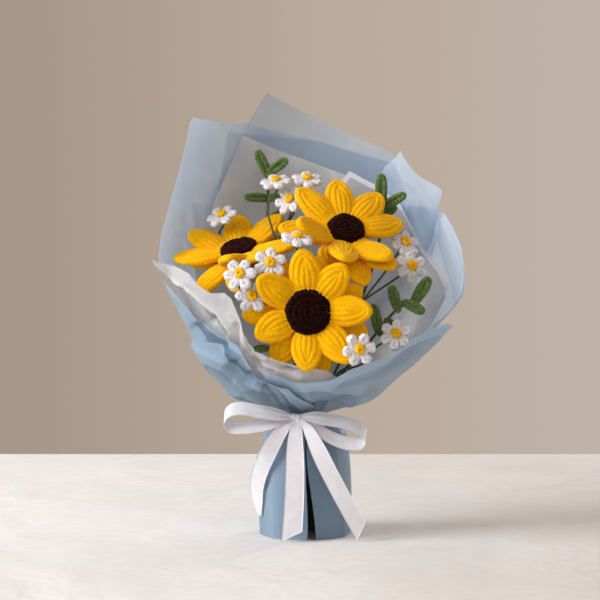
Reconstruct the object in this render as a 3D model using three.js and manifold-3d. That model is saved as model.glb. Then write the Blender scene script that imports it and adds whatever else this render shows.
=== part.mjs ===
// Standing bouquet of sunflowers and daisies made of chenille stems, wrapped in
// frosted paper and tissue and tied with a satin ribbon.
// Millimetres, +Z up, +X to the right seen from the front, -Y towards the viewer.
// The layout below is written about the axis of the tied waist; the whole
// bouquet is then moved so that its origin is the middle of its footprint box.
import * as THREE from "three";
import { mergeVertices } from "three/addons/utils/BufferGeometryUtils.js";
import Module from "manifold-3d";

const wasm = await Module();
wasm.setup();

// ---------------------------------------------------------------- dimensions
const FLOOR = 3.7; // layout height of the surface that the bouquet stands on
const SHIFT = [-3.4, -5.75, -FLOOR]; // layout to finished frame

const PAPER_T = 0.9; // modelled thickness of a wrapping sheet
const WAIST_PITCH = 1.1; // spacing of the sheets where they are tied
const SHEET_FOOT_Z = 113; // lower ends of the sheets, under the ribbon

const SUNFLOWER_PIVOT = 24; // the petals leave the disc's edge here
const SUNFLOWER_PETAL_W = 32;
const SUNFLOWER_PETAL_T = 7;
const SUNFLOWER_DISC_R = 23;
const DAISY_R = 16.8;
const DAISY_T = 4.6;
const DAISY_CENTRE_R = 5.8;
const STEM_R = 3.0; // sunflower stem, wire wound with chenille
const WIRE_R = 1.5; // twisted wires of a spray or a sprig
const TWIG_R = 1.1; // one wire

const SKIRT_T = 1.0;
const BAND_R0 = 21.9;
const BAND_R1 = 22.9;
const BAND_Z0 = 115.4;
const BAND_Z1 = 122.4;
const RIBBON_T = 0.9;
const TAPE_R0 = 11.3;
const TAPE_R1 = 12.2;

// ---------------------------------------------------------------- small maths
const V = (x, y, z) => new THREE.Vector3(x, y, z);
const rad = (d) => (d * Math.PI) / 180;
const clamp = (x, a, b) => Math.min(b, Math.max(a, x));
const lerp = (a, b, t) => a + (b - a) * t;
const smooth = (a, b, x) => {
  const t = clamp((x - a) / (b - a), 0, 1);
  return t * t * (3 - 2 * t);
};

// Monotone cubic through [x, y] pairs.
function pchip(pts) {
  const n = pts.length,
    h = [],
    d = [],
    m = [];
  for (let i = 0; i < n - 1; i++) {
    h[i] = pts[i + 1][0] - pts[i][0];
    d[i] = (pts[i + 1][1] - pts[i][1]) / h[i];
  }
  m[0] = d[0];
  m[n - 1] = d[n - 2];
  for (let i = 1; i < n - 1; i++)
    m[i] = d[i - 1] * d[i] <= 0 ? 0 : (2 * d[i - 1] * d[i]) / (d[i - 1] + d[i]);
  return (x) => {
    if (x <= pts[0][0]) return pts[0][1] + m[0] * (x - pts[0][0]);
    if (x >= pts[n - 1][0]) return pts[n - 1][1] + m[n - 1] * (x - pts[n - 1][0]);
    let i = 0;
    while (x > pts[i + 1][0]) i++;
    const t = (x - pts[i][0]) / h[i],
      t2 = t * t,
      t3 = t2 * t;
    return (
      (2 * t3 - 3 * t2 + 1) * pts[i][1] +
      (t3 - 2 * t2 + t) * h[i] * m[i] +
      (-2 * t3 + 3 * t2) * pts[i + 1][1] +
      (t3 - t2) * h[i] * m[i + 1]
    );
  };
}
const linear = (pts) => (x) => {
  if (x <= pts[0][0]) return pts[0][1];
  for (let i = 0; i < pts.length - 1; i++)
    if (x <= pts[i + 1][0])
      return lerp(pts[i][1], pts[i + 1][1], (x - pts[i][0]) / (pts[i + 1][0] - pts[i][0]));
  return pts[pts.length - 1][1];
};

// ---------------------------------------------------------------- solids
const MAT = {
  petal: { color: 0xe6a512, roughness: 0.9, metalness: 0 },
  disc: { color: 0x1c0706, roughness: 0.95, metalness: 0 },
  white: { color: 0xf2eff0, roughness: 0.9, metalness: 0 },
  gold: { color: 0xeaa61c, roughness: 0.9, metalness: 0 },
  green: { color: 0x5c7a2c, roughness: 0.9, metalness: 0 },
  stem: { color: 0x33481c, roughness: 0.8, metalness: 0 },
  blue: { color: 0x8fa6b8, roughness: 0.6, metalness: 0 },
  tissue: { color: 0xe4e1de, roughness: 0.7, metalness: 0 },
  ribbon: { color: 0xf4f2f6, roughness: 0.35, metalness: 0 },
  tape: { color: 0x5f7f3e, roughness: 0.6, metalness: 0 },
};

function bare(geometry) {
  const g = geometry.clone();
  g.deleteAttribute("normal");
  g.deleteAttribute("uv");
  return mergeVertices(g, 1e-4);
}
function volume(g) {
  const p = g.attributes.position,
    ix = g.index.array,
    a = V(0, 0, 0),
    b = V(0, 0, 0),
    c = V(0, 0, 0);
  let v = 0;
  for (let i = 0; i < ix.length; i += 3) {
    a.fromBufferAttribute(p, ix[i]);
    b.fromBufferAttribute(p, ix[i + 1]);
    c.fromBufferAttribute(p, ix[i + 2]);
    v += a.dot(b.cross(c)) / 6;
  }
  return v;
}
function outward(g) {
  if (volume(g) < 0) {
    const ix = g.index.array;
    for (let i = 0; i < ix.length; i += 3) [ix[i + 1], ix[i + 2]] = [ix[i + 2], ix[i + 1]];
  }
  return g;
}
function solid(geometry) {
  const g = outward(bare(geometry));
  return new wasm.Manifold(
    new wasm.Mesh({
      numProp: 3,
      vertProperties: new Float32Array(g.attributes.position.array),
      triVerts: new Uint32Array(g.index.array),
    }),
  );
}
function join(list) {
  let s = solid(list[0]);
  for (const g of list.slice(1)) s = s.add(solid(g));
  const m = s.getMesh(),
    n = m.numProp,
    v = new Float32Array(m.numVert * 3);
  for (let i = 0; i < m.numVert; i++)
    v.set(m.vertProperties.subarray(i * n, i * n + 3), i * 3);
  const g = new THREE.BufferGeometry();
  g.setAttribute("position", new THREE.BufferAttribute(v, 3));
  g.setIndex(new THREE.BufferAttribute(new Uint32Array(m.triVerts), 1));
  return g;
}

const bouquet = new THREE.Group();
bouquet.name = "bouquet";
bouquet.position.set(...SHIFT);
function put(name, geometry, mat) {
  const g = geometry.index ? geometry : bare(geometry);
  outward(g);
  g.computeVertexNormals();
  const m = new THREE.Mesh(g, new THREE.MeshStandardMaterial(MAT[mat]));
  m.name = name;
  bouquet.add(m);
  return m;
}

// ---------------------------------------------------------------- the bowl
// The opened wrap is a deep bowl with a different radius to the left, the
// right, the back and the front at each height. Every sheet is a region of it.
const LEFT = pchip([[112, 19.8], [122, 19.8], [125, 25], [128.5, 37], [133, 53], [139, 67], [151, 82], [163, 95], [175, 105], [187, 111], [199, 114.5], [211, 119], [223, 125], [235, 132], [247, 138], [259, 141.5], [276, 143.5], [295, 142], [319, 138], [343, 133.5], [367, 127.5], [391, 120], [415, 112], [450, 101]]);
const RIGHT = pchip([[112, 19.8], [122, 19.8], [125, 26.5], [128.5, 43], [133, 58], [139, 70], [151, 82], [163, 93], [175, 105], [187, 117], [199, 128], [211, 136], [223, 143], [235, 150], [247, 156], [259, 157.5], [271, 156], [297, 149], [326, 138], [345, 131], [389, 105], [450, 92]]);
const BACK = pchip([[112, 19.8], [122, 19.8], [127.5, 26], [134, 36], [151, 52], [180, 67], [220, 78], [260, 87], [300, 94], [350, 99], [400, 101], [460, 102]]);
const FRONT = pchip([[112, 19.8], [124.5, 19.8], [128, 24], [132, 33], [136.5, 46], [145, 65], [155, 78.5], [168, 89], [188, 96.5], [215, 102], [300, 107]]);

function bowl(phi, z) {
  const c = Math.cos(rad(phi)),
    s = Math.sin(rad(phi));
  return V((c >= 0 ? RIGHT(z) : LEFT(z)) * c, (s >= 0 ? BACK(z) : FRONT(z)) * s, z);
}
function bowlNormal(phi, z) {
  const a = bowl(phi + 0.5, z).sub(bowl(phi - 0.5, z)),
    b = bowl(phi, z + 0.5).sub(bowl(phi, z - 0.5));
  return a.cross(b).normalize();
}

// Closed solid of a grid of points with a normal at each: grid[i][j] = {p, n}.
function thick(grid, t) {
  const ni = grid.length,
    nj = grid[0].length,
    pos = [],
    idx = [];
  for (const side of [0.5, -0.5])
    for (let i = 0; i < ni; i++)
      for (let j = 0; j < nj; j++) {
        const q = grid[i][j].p.clone().addScaledVector(grid[i][j].n, side * t);
        pos.push(q.x, q.y, q.z);
      }
  const A = (i, j) => i * nj + j,
    B = (i, j) => ni * nj + i * nj + j;
  const quad = (a, b, c, d) => idx.push(a, b, c, a, c, d);
  for (let i = 0; i < ni - 1; i++)
    for (let j = 0; j < nj - 1; j++) {
      quad(A(i, j), A(i + 1, j), A(i + 1, j + 1), A(i, j + 1));
      quad(B(i, j), B(i, j + 1), B(i + 1, j + 1), B(i + 1, j));
    }
  for (let i = 0; i < ni - 1; i++) {
    quad(B(i, 0), B(i + 1, 0), A(i + 1, 0), A(i, 0));
    quad(A(i, nj - 1), A(i + 1, nj - 1), B(i + 1, nj - 1), B(i, nj - 1));
  }
  for (let j = 0; j < nj - 1; j++) {
    quad(A(0, j), A(0, j + 1), B(0, j + 1), B(0, j));
    quad(B(ni - 1, j), B(ni - 1, j + 1), A(ni - 1, j + 1), A(ni - 1, j));
  }
  const g = new THREE.BufferGeometry();
  g.setAttribute("position", new THREE.BufferAttribute(new Float32Array(pos), 3));
  g.setIndex(new THREE.BufferAttribute(new Uint32Array(idx), 1));
  return g;
}

// A sheet: its layer at the tie (3 is the outermost), how far it stands inside
// the bowl where it is open, its span of angle at the waist, its rim as
// [angle, height] corners, and flares [angle, half width, outward amount, power].
const ROWS = [SHEET_FOOT_Z, 120.6, 123, 125.2, 128, 132, 139, 152, 172, 206, 256, 320];
const ROW_STEP = 1.2;
const byAngle = (pts) => {
  const f = linear(pts);
  return (phi) => f(phi);
};
const byHeight = (pts) => {
  const f = linear(pts);
  return (phi, z) => f(z);
};
const SHEETS = {
  wrap_front_left: { layer: 3, off: byHeight([[0, 0]]), waist: [178, 284], rim: [[186, 266], [192, 257], [199, 249], [209, 232], [213.8, 219], [225.4, 206], [236.5, 196], [239.5, 180], [242, 165], [249.4, 159.5], [258.7, 155], [265.7, 143.4], [277, 134]], flares: [], mat: "blue" },
  wrap_front_right: { layer: 2, off: byAngle([[288, -3.4], [312, 0]]), waist: [246, 350], rim: [[244, 170], [252, 165], [261, 157], [271, 157], [284.4, 158.7], [289.4, 162.5], [295.9, 171], [302.9, 177.6], [311.8, 183.9], [318.5, 191.2], [322, 201.8], [330, 210], [341, 218], [352, 216]], flares: [[350, 12, 9, 1.6]], mat: "blue" },
  wrap_right_outer: { layer: 1, off: byHeight([[190, -6.6], [235, 0]]), waist: [322, 385], rim: [[334, 210], [341, 219], [344, 232], [350, 247], [353, 268], [360, 297], [367.5, 324], [375, 331], [398, 335]], flares: [], mat: "blue" },
  wrap_back_left: { layer: 1, off: (phi, z) => lerp(linear([[262, -6.6], [320, 0]])(z), linear([[254, -6.6], [268, 0]])(z), smooth(140, 154, phi)), waist: [40, 180], rim: [[40, 379], [82, 404], [122, 421], [174, 420], [181, 414]], flares: [], mat: "blue", rows: [270, 360] },
  wrap_back_top: { layer: 2, off: byHeight([[262, -3.3], [320, 3.3]]), waist: [40, 136], rim: [[34, 386], [82, 427], [113, 455], [124, 414], [131, 375], [138, 330]], flares: [], mat: "blue" },
  wrap_right_upper: { layer: 0, off: byHeight([[262, -9.9], [320, -3.4]]), waist: [90, 126], rim: [[0, 344], [19, 389.4], [41, 376], [70, 335]], flares: [[0, 6, 9, 5]], mat: "blue", rows: [188, 230, 288] },
  tissue_back: { layer: -1, off: byHeight([[262, -13.2], [320, -6.8]]), waist: [62, 150], rim: [[60, 335], [68, 368], [127, 409], [138, 330], [150, 262]], flares: [], mat: "tissue" },
  tissue_right: { layer: -2, off: (phi, z) => lerp(linear([[205, -7.8], [240, -9.6]])(z), linear([[262, -16.5], [320, -10.2]])(z), smooth(26, 40, phi)), waist: [22, 84], rim: [[2, 236], [18, 258], [33, 293], [38, 336], [50, 357], [64, 372], [73, 357], [80, 330]], flares: [], mat: "tissue", rows: [195.5] },
  tissue_left: { layer: -3, off: byHeight([[0, -7]]), waist: [186, 298], rim: [[187, 262], [193, 277], [203, 269], [214.6, 262], [219.4, 250], [226.6, 243], [233.6, 245], [238.4, 238], [240.4, 222], [243, 211], [248, 197], [255, 178], [270, 168], [284, 163], [298, 150]], flares: [[282, 24, -6, 1.6], [193, 5, 18.3, 20]], mat: "tissue", rows: [264] },
};
const COLUMN_STEP = 14;

function sheetPoint(s, u, z, phiRim, zRim) {
  const h = Math.pow(clamp((z - 118) / (zRim - 118), 0, 1), 1.2);
  const phi = lerp(lerp(s.waist[0], s.waist[1], u), phiRim, h);
  const n = bowlNormal(phi, z);
  let off = lerp((s.layer - 3) * WAIST_PITCH, s.off(phi, z), smooth(121, 144, z));
  const v = clamp((z - 125) / (zRim - 125), 0, 1);
  for (const [c, w, a, k] of s.flares) off += a * Math.exp(-(((phi - c) / w) ** 2)) * Math.pow(v, k);
  return { p: bowl(phi, z).addScaledVector(n, off), n };
}
function sheetGrid(s) {
  const rim = linear(s.rim),
    a = s.rim[0][0],
    b = s.rim[s.rim.length - 1][0],
    cols = [];
  for (let i = 0; i < s.rim.length - 1; i++) {
    const [p, q] = [s.rim[i][0], s.rim[i + 1][0]],
      n = Math.max(1, Math.ceil((q - p) / COLUMN_STEP - 0.2));
    for (let k = 0; k < n; k++) cols.push(lerp(p, q, k / n));
  }
  cols.push(b);
  const top = Math.max(...s.rim.map((r) => r[1])),
    rows = [...ROWS, ...(s.rows || [])].sort((p, q) => p - q).filter((z) => z < top - 12);
  const K = rows.length;
  const grid = cols.map((phi) => {
    const zr = rim(phi),
      u = (phi - a) / (b - a),
      col = [];
    for (let k = 0; k <= K; k++) {
      const z = k === K ? zr : Math.min(rows[k], zr - (K - k) * ROW_STEP);
      col.push(sheetPoint(s, u, z, phi, zr));
    }
    return col;
  });
  // Normals of the displaced surface, so that the thickness is even.
  for (let i = 0; i < grid.length; i++)
    for (let j = 0; j <= K; j++) {
      const a0 = grid[Math.max(0, i - 1)][j].p,
        a1 = grid[Math.min(grid.length - 1, i + 1)][j].p,
        b0 = grid[i][Math.max(0, j - 1)].p,
        b1 = grid[i][Math.min(K, j + 1)].p;
      const n = a1.clone().sub(a0).cross(b1.clone().sub(b0)).normalize();
      grid[i][j].m = n.dot(grid[i][j].n) < 0 ? n.negate() : n;
    }
  for (const col of grid) for (const q of col) q.n = q.m;
  return grid;
}
for (const [name, s] of Object.entries(SHEETS)) put(name, thick(sheetGrid(s), PAPER_T), s.mat);

// ---------------------------------------------------------------- the skirt
const SKIRT = pchip([[FLOOR, 45.5], [25, 46], [60, 44.8], [88, 42.6], [99, 41], [105, 38.6], [109.5, 33.5], [112.4, 26], [114, 22.2], [115.2, 21.05], [120.6, 21]]);
const SLIT_Z = 92; // the front edges part below this height
const SLIT_AT = 277.3; // middle of the slit at the foot, degrees
const SKIRT_PLEATS = 9;
{
  const zs = [FLOOR, 45, 88, 100, 106, 110.4, 113, 115.3, 120.6],
    n = 36,
    grid = [];
  for (let i = 0; i <= n; i++) {
    grid.push(
      zs.map((z) => {
        const open = smooth(SLIT_Z + 4, FLOOR, z),
          mid = lerp(270, SLIT_AT, open),
          half = Math.max(0.9, 5.4 * (1 - (z - FLOOR) / (SLIT_Z - FLOOR)));
        const phi = mid + half + (i / n) * (360 - 2 * half);
        const amp = 1.7 * smooth(112, 84, z);
        const R = SKIRT(z) + amp * Math.cos(rad(SKIRT_PLEATS * (phi - SLIT_AT) + 180));
        const c = Math.cos(rad(phi)),
          s = Math.sin(rad(phi));
        return { p: V(R * c, R * s, z), n: V(c, s, 0) };
      }),
    );
  }
  put("paper_skirt", thick(grid, SKIRT_T), "blue");
}

// ---------------------------------------------------------------- ribbon
function lathe(points, segments) {
  return new THREE.LatheGeometry(points.map(([r, z]) => new THREE.Vector2(r, z)), segments).rotateX(Math.PI / 2);
}
function ring(r0, r1, z0, z1, segments) {
  return lathe([[r0, z0], [r1, z0], [r1, z1], [r0, z1], [r0, z0]], segments);
}
{
  const knot = new THREE.SphereGeometry(1, 8, 5);
  knot.scale(7.6, 7.5, 5.4).translate(-10.4, -27.1, 120.4);
  put("ribbon_band_knot", join([ring(BAND_R0, BAND_R1, BAND_Z0, BAND_Z1, 24), knot]), "ribbon");
}
// A strip between two edges, each a smooth line through points.
function strip(left, right, n, t) {
  const L = new THREE.CatmullRomCurve3(left.map((p) => V(...p)), false, "centripetal"),
    R = new THREE.CatmullRomCurve3(right.map((p) => V(...p)), false, "centripetal");
  const grid = [[], []];
  for (let k = 0; k <= n; k++) {
    const a = L.getPoint(k / n),
      b = R.getPoint(k / n),
      a1 = L.getPoint(Math.min(1, k / n + 0.01)).sub(L.getPoint(Math.max(0, k / n - 0.01)));
    const nn = b.clone().sub(a).cross(a1).normalize();
    grid[0].push({ p: a, n: nn });
    grid[1].push({ p: b, n: nn });
  }
  return thick(grid, t);
}
const RIBBON_W = 17.6;
function loop(centre, w) {
  const last = centre.length - 1,
    half = centre.map((p, i) => (RIBBON_W / 2) * smooth(-1.5, 2.8, Math.min(i, last - i)));
  return [1, -1].map((q) => centre.map((p, i) => p.map((c, k) => c + q * w[k] * half[i])));
}
const LOOP_LEFT = [[-19.5, -33.5, 121.8], [-31, -38, 127.6], [-46, -40, 132], [-62, -41, 133.4], [-73.5, -42, 130.6], [-78.8, -43, 123.4], [-74.5, -43.5, 116.2], [-62, -43, 113.4], [-46, -41, 113.6], [-31, -38.5, 116.4], [-19.5, -35.5, 119]];
const LOOP_RIGHT = [[-1.5, -33.5, 121.6], [10, -37, 122.6], [26, -40, 122.6], [42, -41, 120.6], [54, -42, 113.2], [58.8, -43.5, 104.6], [53, -45, 97.8], [42, -45, 97.8], [30, -43.5, 101.4], [16, -41.5, 108.6], [5, -39, 114.9], [-1.5, -36.5, 118.4]];
put("ribbon_loop_left", strip(...loop(LOOP_LEFT, [0, 0.84, 0.54]), 18, RIBBON_T), "ribbon");
put("ribbon_loop_right", strip(...loop(LOOP_RIGHT, [0.1, 0.79, 0.6]), 20, RIBBON_T), "ribbon");
const TAIL_LEFT = [
  [[-27.5, -37.5, 116], [-42, -41, 97], [-49, -30, 80], [-54, -18, 60], [-54, -12, 46], [-47.5, -16.5, 24]],
  [[-16, -37, 116.5], [-26, -42, 94], [-40.5, -33, 66], [-45, -24.5, 50], [-45, -22.5, 38], [-46, -18, 24]],
];
const TAIL_MIDDLE = [
  [[-13.6, -38.5, 116.6], [-18, -44, 104], [-19.5, -51, 74], [-20.5, -54, 40], [-23.5, -57, 4.4]],
  [[-7, -38.5, 116.6], [-3.6, -44, 103.5], [-1.5, -51.5, 82], [-1.5, -54.5, 48], [-3.3, -57, 14]],
];
const TAIL_RIGHT = [
  [[-5.4, -41.6, 116], [0.6, -50.5, 98], [21, -53.5, 57], [49.5, -54, 4.6]],
  [[3.2, -43.6, 117], [14.6, -52, 104], [32, -54, 71], [58, -52, 22]],
];
put("ribbon_tail_left", strip(...TAIL_LEFT, 8, RIBBON_T), "ribbon");
put("ribbon_tail_middle", strip(...TAIL_MIDDLE, 6, RIBBON_T), "ribbon");
put("ribbon_tail_right", strip(...TAIL_RIGHT, 7, RIBBON_T), "ribbon");

put("stem_tape", ring(TAPE_R0, TAPE_R1, 112, 124, 16), "tape");

// ---------------------------------------------------------------- flowers
// Frame of a flower: n faces out of it, e1 to the right, e2 up its face.
function face(c, n) {
  const N = V(...n).normalize(),
    e1 = V(0, 0, 1).cross(N).normalize();
  if (e1.x < 0) e1.negate();
  const e2 = N.clone().cross(e1);
  if (e2.z < 0) e2.negate();
  return {
    c: V(...c),
    N,
    e1,
    e2,
    at(az, r, h) {
      return this.c
        .clone()
        .addScaledVector(this.e1, r * Math.cos(rad(az)))
        .addScaledVector(this.e2, r * Math.sin(rad(az)))
        .addScaledVector(this.N, h);
    },
  };
}
// Lathe solid about the face's normal.
function turned(f, points, segments) {
  const g = lathe(points, segments);
  const m = new THREE.Matrix4().makeBasis(f.e1, f.N.clone().cross(f.e1), f.N);
  m.setPosition(f.c);
  return g.applyMatrix4(m);
}
// A petal: lens from r0 to pivot in the face's plane, then length L at angle lift.
function petal(f, { az, lift, L, W, T, r0, pivot, h0, bulge, across, along }) {
  const g = new THREE.SphereGeometry(1, across, along),
    p = g.attributes.position,
    total = pivot - r0 + L,
    side = f.at(az + 90, 1, 0).sub(f.c);
  for (let i = 0; i < p.count; i++) {
    const x = p.getX(i),
      y = p.getY(i),
      z = p.getZ(i);
    const d = ((y + 1) / 2) * total - (pivot - r0);
    let r = pivot + d,
      h = h0;
    if (d > 0) {
      const b = bulge * Math.sin((Math.PI * d) / L);
      r = pivot + d * Math.cos(rad(lift)) - b * Math.sin(rad(lift));
      h = h0 + d * Math.sin(rad(lift)) + b * Math.cos(rad(lift));
    }
    const q = f.at(az, r, h + (z * T) / 2).addScaledVector(side, (x * W) / 2);
    p.setXYZ(i, q.x, q.y, q.z);
  }
  return g;
}
// Tube along a smooth line through points.
function tube(points, r, sides, steps) {
  const shape = new THREE.Shape();
  for (let k = 0; k < sides; k++) {
    const a = (k / sides) * 2 * Math.PI;
    k ? shape.lineTo(r * Math.cos(a), r * Math.sin(a)) : shape.moveTo(r, 0);
  }
  shape.closePath();
  const path = new THREE.CatmullRomCurve3(points.map((p) => (p.isVector3 ? p : V(...p))), false, "centripetal");
  return new THREE.ExtrudeGeometry(shape, { steps, bevelEnabled: false, extrudePath: path });
}

// Where each stem runs through the tie: distance from the axis and angle.
const slot = (r, a, z, spread = 1) => [r * spread * Math.cos(rad(a)), r * spread * Math.sin(rad(a)), z];
const lower = (r, a) => [slot(r, a, FLOOR + 1, 1.9), slot(r, a, 60, 1.45), slot(r, a, 104, 1), slot(r, a, 130, 1)];

const SUNFLOWERS = {
  main: {
    c: [2.2, -66, 226.8],
    n: [0, -0.998, 0.06],
    front: [[94, 8, 36.7], [52, 8, 33.6], [1, 8, 37.7], [310, 8, 38.9], [268, 8, 32.8], [204, 8, 32], [146, 18, 36]],
    back: [[77, -8, 31], [23, -8, 32], [338, -8, 36.7], [284, -8, 39.7], [237, -8, 36], [182, -12, 39.7], [123, -8, 34]],
    slot: [4.05, 270],
    via: [[2, -34, 218], [1, -16, 180]],
    leaf: { twig: [[0.5, -16.5, 181], [-14, -35, 184], [-31, -43.5, 190], [-39, -50, 191]], blade: [[-38, -49.5, 191], [-51, -68, 189], 11] },
  },
  right: {
    c: [39, -18, 304.7],
    n: [0.2, -0.732, 0.652],
    front: [[87, 1, 42], [47, 0, 42], [13, -10, 42], [299, 27, 42], [252, 32, 42], [192, 36, 42], [128, 4, 42]],
    back: [[70, -14, 42], [25, -18, 40], [308, 16, 42], [276, 4, 42], [236, 8, 24], [173, 2, 42], [118, -12, 38]],
    slot: [4.05, 30],
    via: [[29, 14, 268], [16, 10, 205]],
    disc: 20.5,
  },
  left: {
    c: [-66.8, 8, 285.3],
    n: [-0.186, -0.451, 0.873],
    front: [[198, 0, 42], [164, 16, 40], [112, 8, 42], [68, 9, 42], [357, 8, 42], [315, 22, 42], [287, 32, 42]],
    back: [[243, -20, 42], [138, 2, 20], [182, -10, 31], [98, -10, 40], [58, -10, 38], [338, -12, 38], [290, -10, 38]],
    slot: [4.05, 150],
    via: [[-60, 18, 248], [-30, 14, 190]],
    disc: 20.5,
  },
};
const BACK_RING_H = -9;
for (const [name, s] of Object.entries(SUNFLOWERS)) {
  const f = face(s.c, s.n);
  const hub = (h) => turned(f, [[0, h - 2.4], [16, h - 2.4], [16, h + 2.4], [0, h + 2.4]], 9);
  const ringOf = (list, h, T, W) =>
    join([
      hub(h),
      ...list.map(([az, lift, L]) =>
        petal(f, { az, lift, L, W, T, r0: 11, pivot: SUNFLOWER_PIVOT, h0: h, bulge: 2, across: 6, along: 4 }),
      ),
    ]);
  put("sunflower_" + name + "_front_petals", ringOf(s.front, 0, SUNFLOWER_PETAL_T, SUNFLOWER_PETAL_W), "petal");
  put("sunflower_" + name + "_back_petals", ringOf(s.back, BACK_RING_H, 6, SUNFLOWER_PETAL_W - 2), "petal");
  put(
    "sunflower_" + name + "_disc",
    s.disc
      ? turned(f, [[0, 3.9], [s.disc - 3, 3.9], [s.disc, 5.4], [s.disc - 1.5, 7.8], [s.disc - 9, 9.3], [0, 9.7]], 14)
      : turned(f, [[0, 3.9], [20, 3.9], [SUNFLOWER_DISC_R, 6], [21.5, 9], [13, 11], [0, 11.5]], 14),
    "disc",
  );
  const root = f.at(0, 0, BACK_RING_H - 2.8),
    neck = f.at(0, 0, BACK_RING_H - 14);
  const stem = tube([...lower(...s.slot), ...s.via.slice().reverse(), neck, root], STEM_R, 6, 12);
  put("sunflower_" + name + "_stem", s.leaf ? join([stem, tube(s.leaf.twig, TWIG_R, 4, 4), leaf(s.leaf.blade, [-0.1, -0.6, 0.8])]) : stem, "stem");
}

// Ring of six bent loops as one scalloped lens.
function scalloped(f, turn) {
  const pos = [],
    idx = [],
    rim = [];
  for (let k = 0; k < 6; k++)
    for (const [da, r] of [[-30, 9.2], [-15, DAISY_R - 0.6], [0, DAISY_R], [15, DAISY_R - 0.6]]) rim.push([turn + k * 60 + da, r]);
  const add = (az, r, h) => {
    const q = f.at(az, r, h);
    pos.push(q.x, q.y, q.z);
    return pos.length / 3 - 1;
  };
  const top = add(0, 0, DAISY_T / 2),
    under = add(0, 0, -DAISY_T / 2),
    A = rim.map(([az, r]) => add(az, r, 1.6)),
    B = rim.map(([az, r]) => add(az, r, -1.0)),
    n = rim.length;
  for (let i = 0; i < n; i++) {
    const j = (i + 1) % n;
    idx.push(top, A[i], A[j], under, B[j], B[i], A[i], B[i], B[j], A[i], B[j], A[j]);
  }
  const g = new THREE.BufferGeometry();
  g.setAttribute("position", new THREE.BufferAttribute(new Float32Array(pos), 3));
  g.setIndex(new THREE.BufferAttribute(new Uint32Array(idx), 1));
  return g;
}
const DAISIES = [
  { c: [-84.9, 30, 321.2], n: [-0.3, -0.55, 0.78], turn: 20 },
  { c: [-29.8, 22, 355.3], n: [-0.1, -0.4, 0.9], turn: 0 },
  { c: [1.6, 30, 357.8], n: [0.05, -0.5, 0.86], turn: 30 },
  { c: [-15.5, 18, 337], n: [-0.35, -0.8, 0.45], turn: 10 },
  { c: [-8.2, -61.5, 296], n: [0.1, -0.35, 0.93], turn: 15 },
  { c: [-62.8, -74, 262.3], n: [-0.2, -0.9, 0.35], turn: 5 },
  { c: [-34.2, -62, 273], n: [0, -0.95, 0.3], turn: 25 },
  { c: [-51.5, -64, 241.5], n: [0, -0.97, 0.2], turn: 0 },
  { c: [98.7, 4, 293.2], n: [0.35, -0.75, 0.55], turn: 12 },
  { c: [104.6, -12, 270.1], n: [0.2, -0.93, 0.3], turn: 28 },
  { c: [50.4, -87, 192.2], n: [0.05, -0.99, -0.05], turn: 8 },
  { c: [87.1, -50, 203.8], n: [0.05, -0.9, 0.4], turn: 20 },
];
const daisyFaces = DAISIES.map((d) => face(d.c, d.n));
DAISIES.forEach((d, i) => {
  const f = daisyFaces[i],
    tag = "daisy_" + String(i + 1).padStart(2, "0");
  put(tag + "_petals", scalloped(f, d.turn), "white");
  put(tag + "_centre", turned(f, [[0, 2.7], [5, 2.7], [DAISY_CENTRE_R, 4.2], [4, 6.2], [0, 6.8]], 8), "gold");
});

// Sprays: the wires of a few daisies twisted into one, which runs to the tie.
const SPRAYS = {
  left: { slot: [9.1, 84], trunk: [[-4, 13, 182], [-20, 9, 242], [-27, 8, 268]], wires: [[0, [-50, 44, 266], [-80, 51, 282], [-87, 50.5, 293.5], [-88, 42, 306]], [1, [-31, 11, 298], [-38, 24, 332]], [2, [-27, 9, 296], [-12, 30, 325]], [3, [-27, 9, 296], [-16, 26, 322]]] },
  middle: { slot: [9.1, 235], trunk: [[-10, -20, 172], [-24, -32, 212]], wires: [[4, [-12, -36, 240], [-8, -42, 266], [-7, -53, 282]], [5, [-44, -38, 238], [-66, -50, 252]], [6, [-42, -38, 240], [-40, -50, 258]], [7, [-42, -38, 234], [-48, -50, 238]]] },
  right: { slot: [9.1, 0], trunk: [[28, 0, 162], [50, -6, 214], [57, -9, 238]], wires: [[8, [80, -2, 266]], [9, [80, -9, 252]]] },
  front: { slot: [9.1, 305], trunk: [[14, -24, 148], [36, -40, 170]], wires: [[10, [56, -56, 177], [61, -74, 186]], [11, [62, -46, 188], [76, -47, 197]]] },
};
for (const [name, s] of Object.entries(SPRAYS)) {
  const trunk = [...lower(...s.slot), ...s.trunk];
  const fork = s.trunk[s.trunk.length - 1];
  const parts = [tube(trunk, WIRE_R, 5, 12)];
  for (const [k, ...via] of s.wires) {
    const f = daisyFaces[k],
      end = f.at(0, 0, -2.9),
      before = f.at(0, 0, -8);
    const under = s.trunk.length > 1 ? s.trunk[s.trunk.length - 2] : fork;
    const start = [lerp(fork[0], under[0], 0.06), lerp(fork[1], under[1], 0.06), lerp(fork[2], under[2], 0.06)];
    parts.push(tube([start, ...via, before, end], TWIG_R, 4, 7));
  }
  put("daisy_spray_" + name + "_wires", join(parts), "stem");
}

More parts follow.
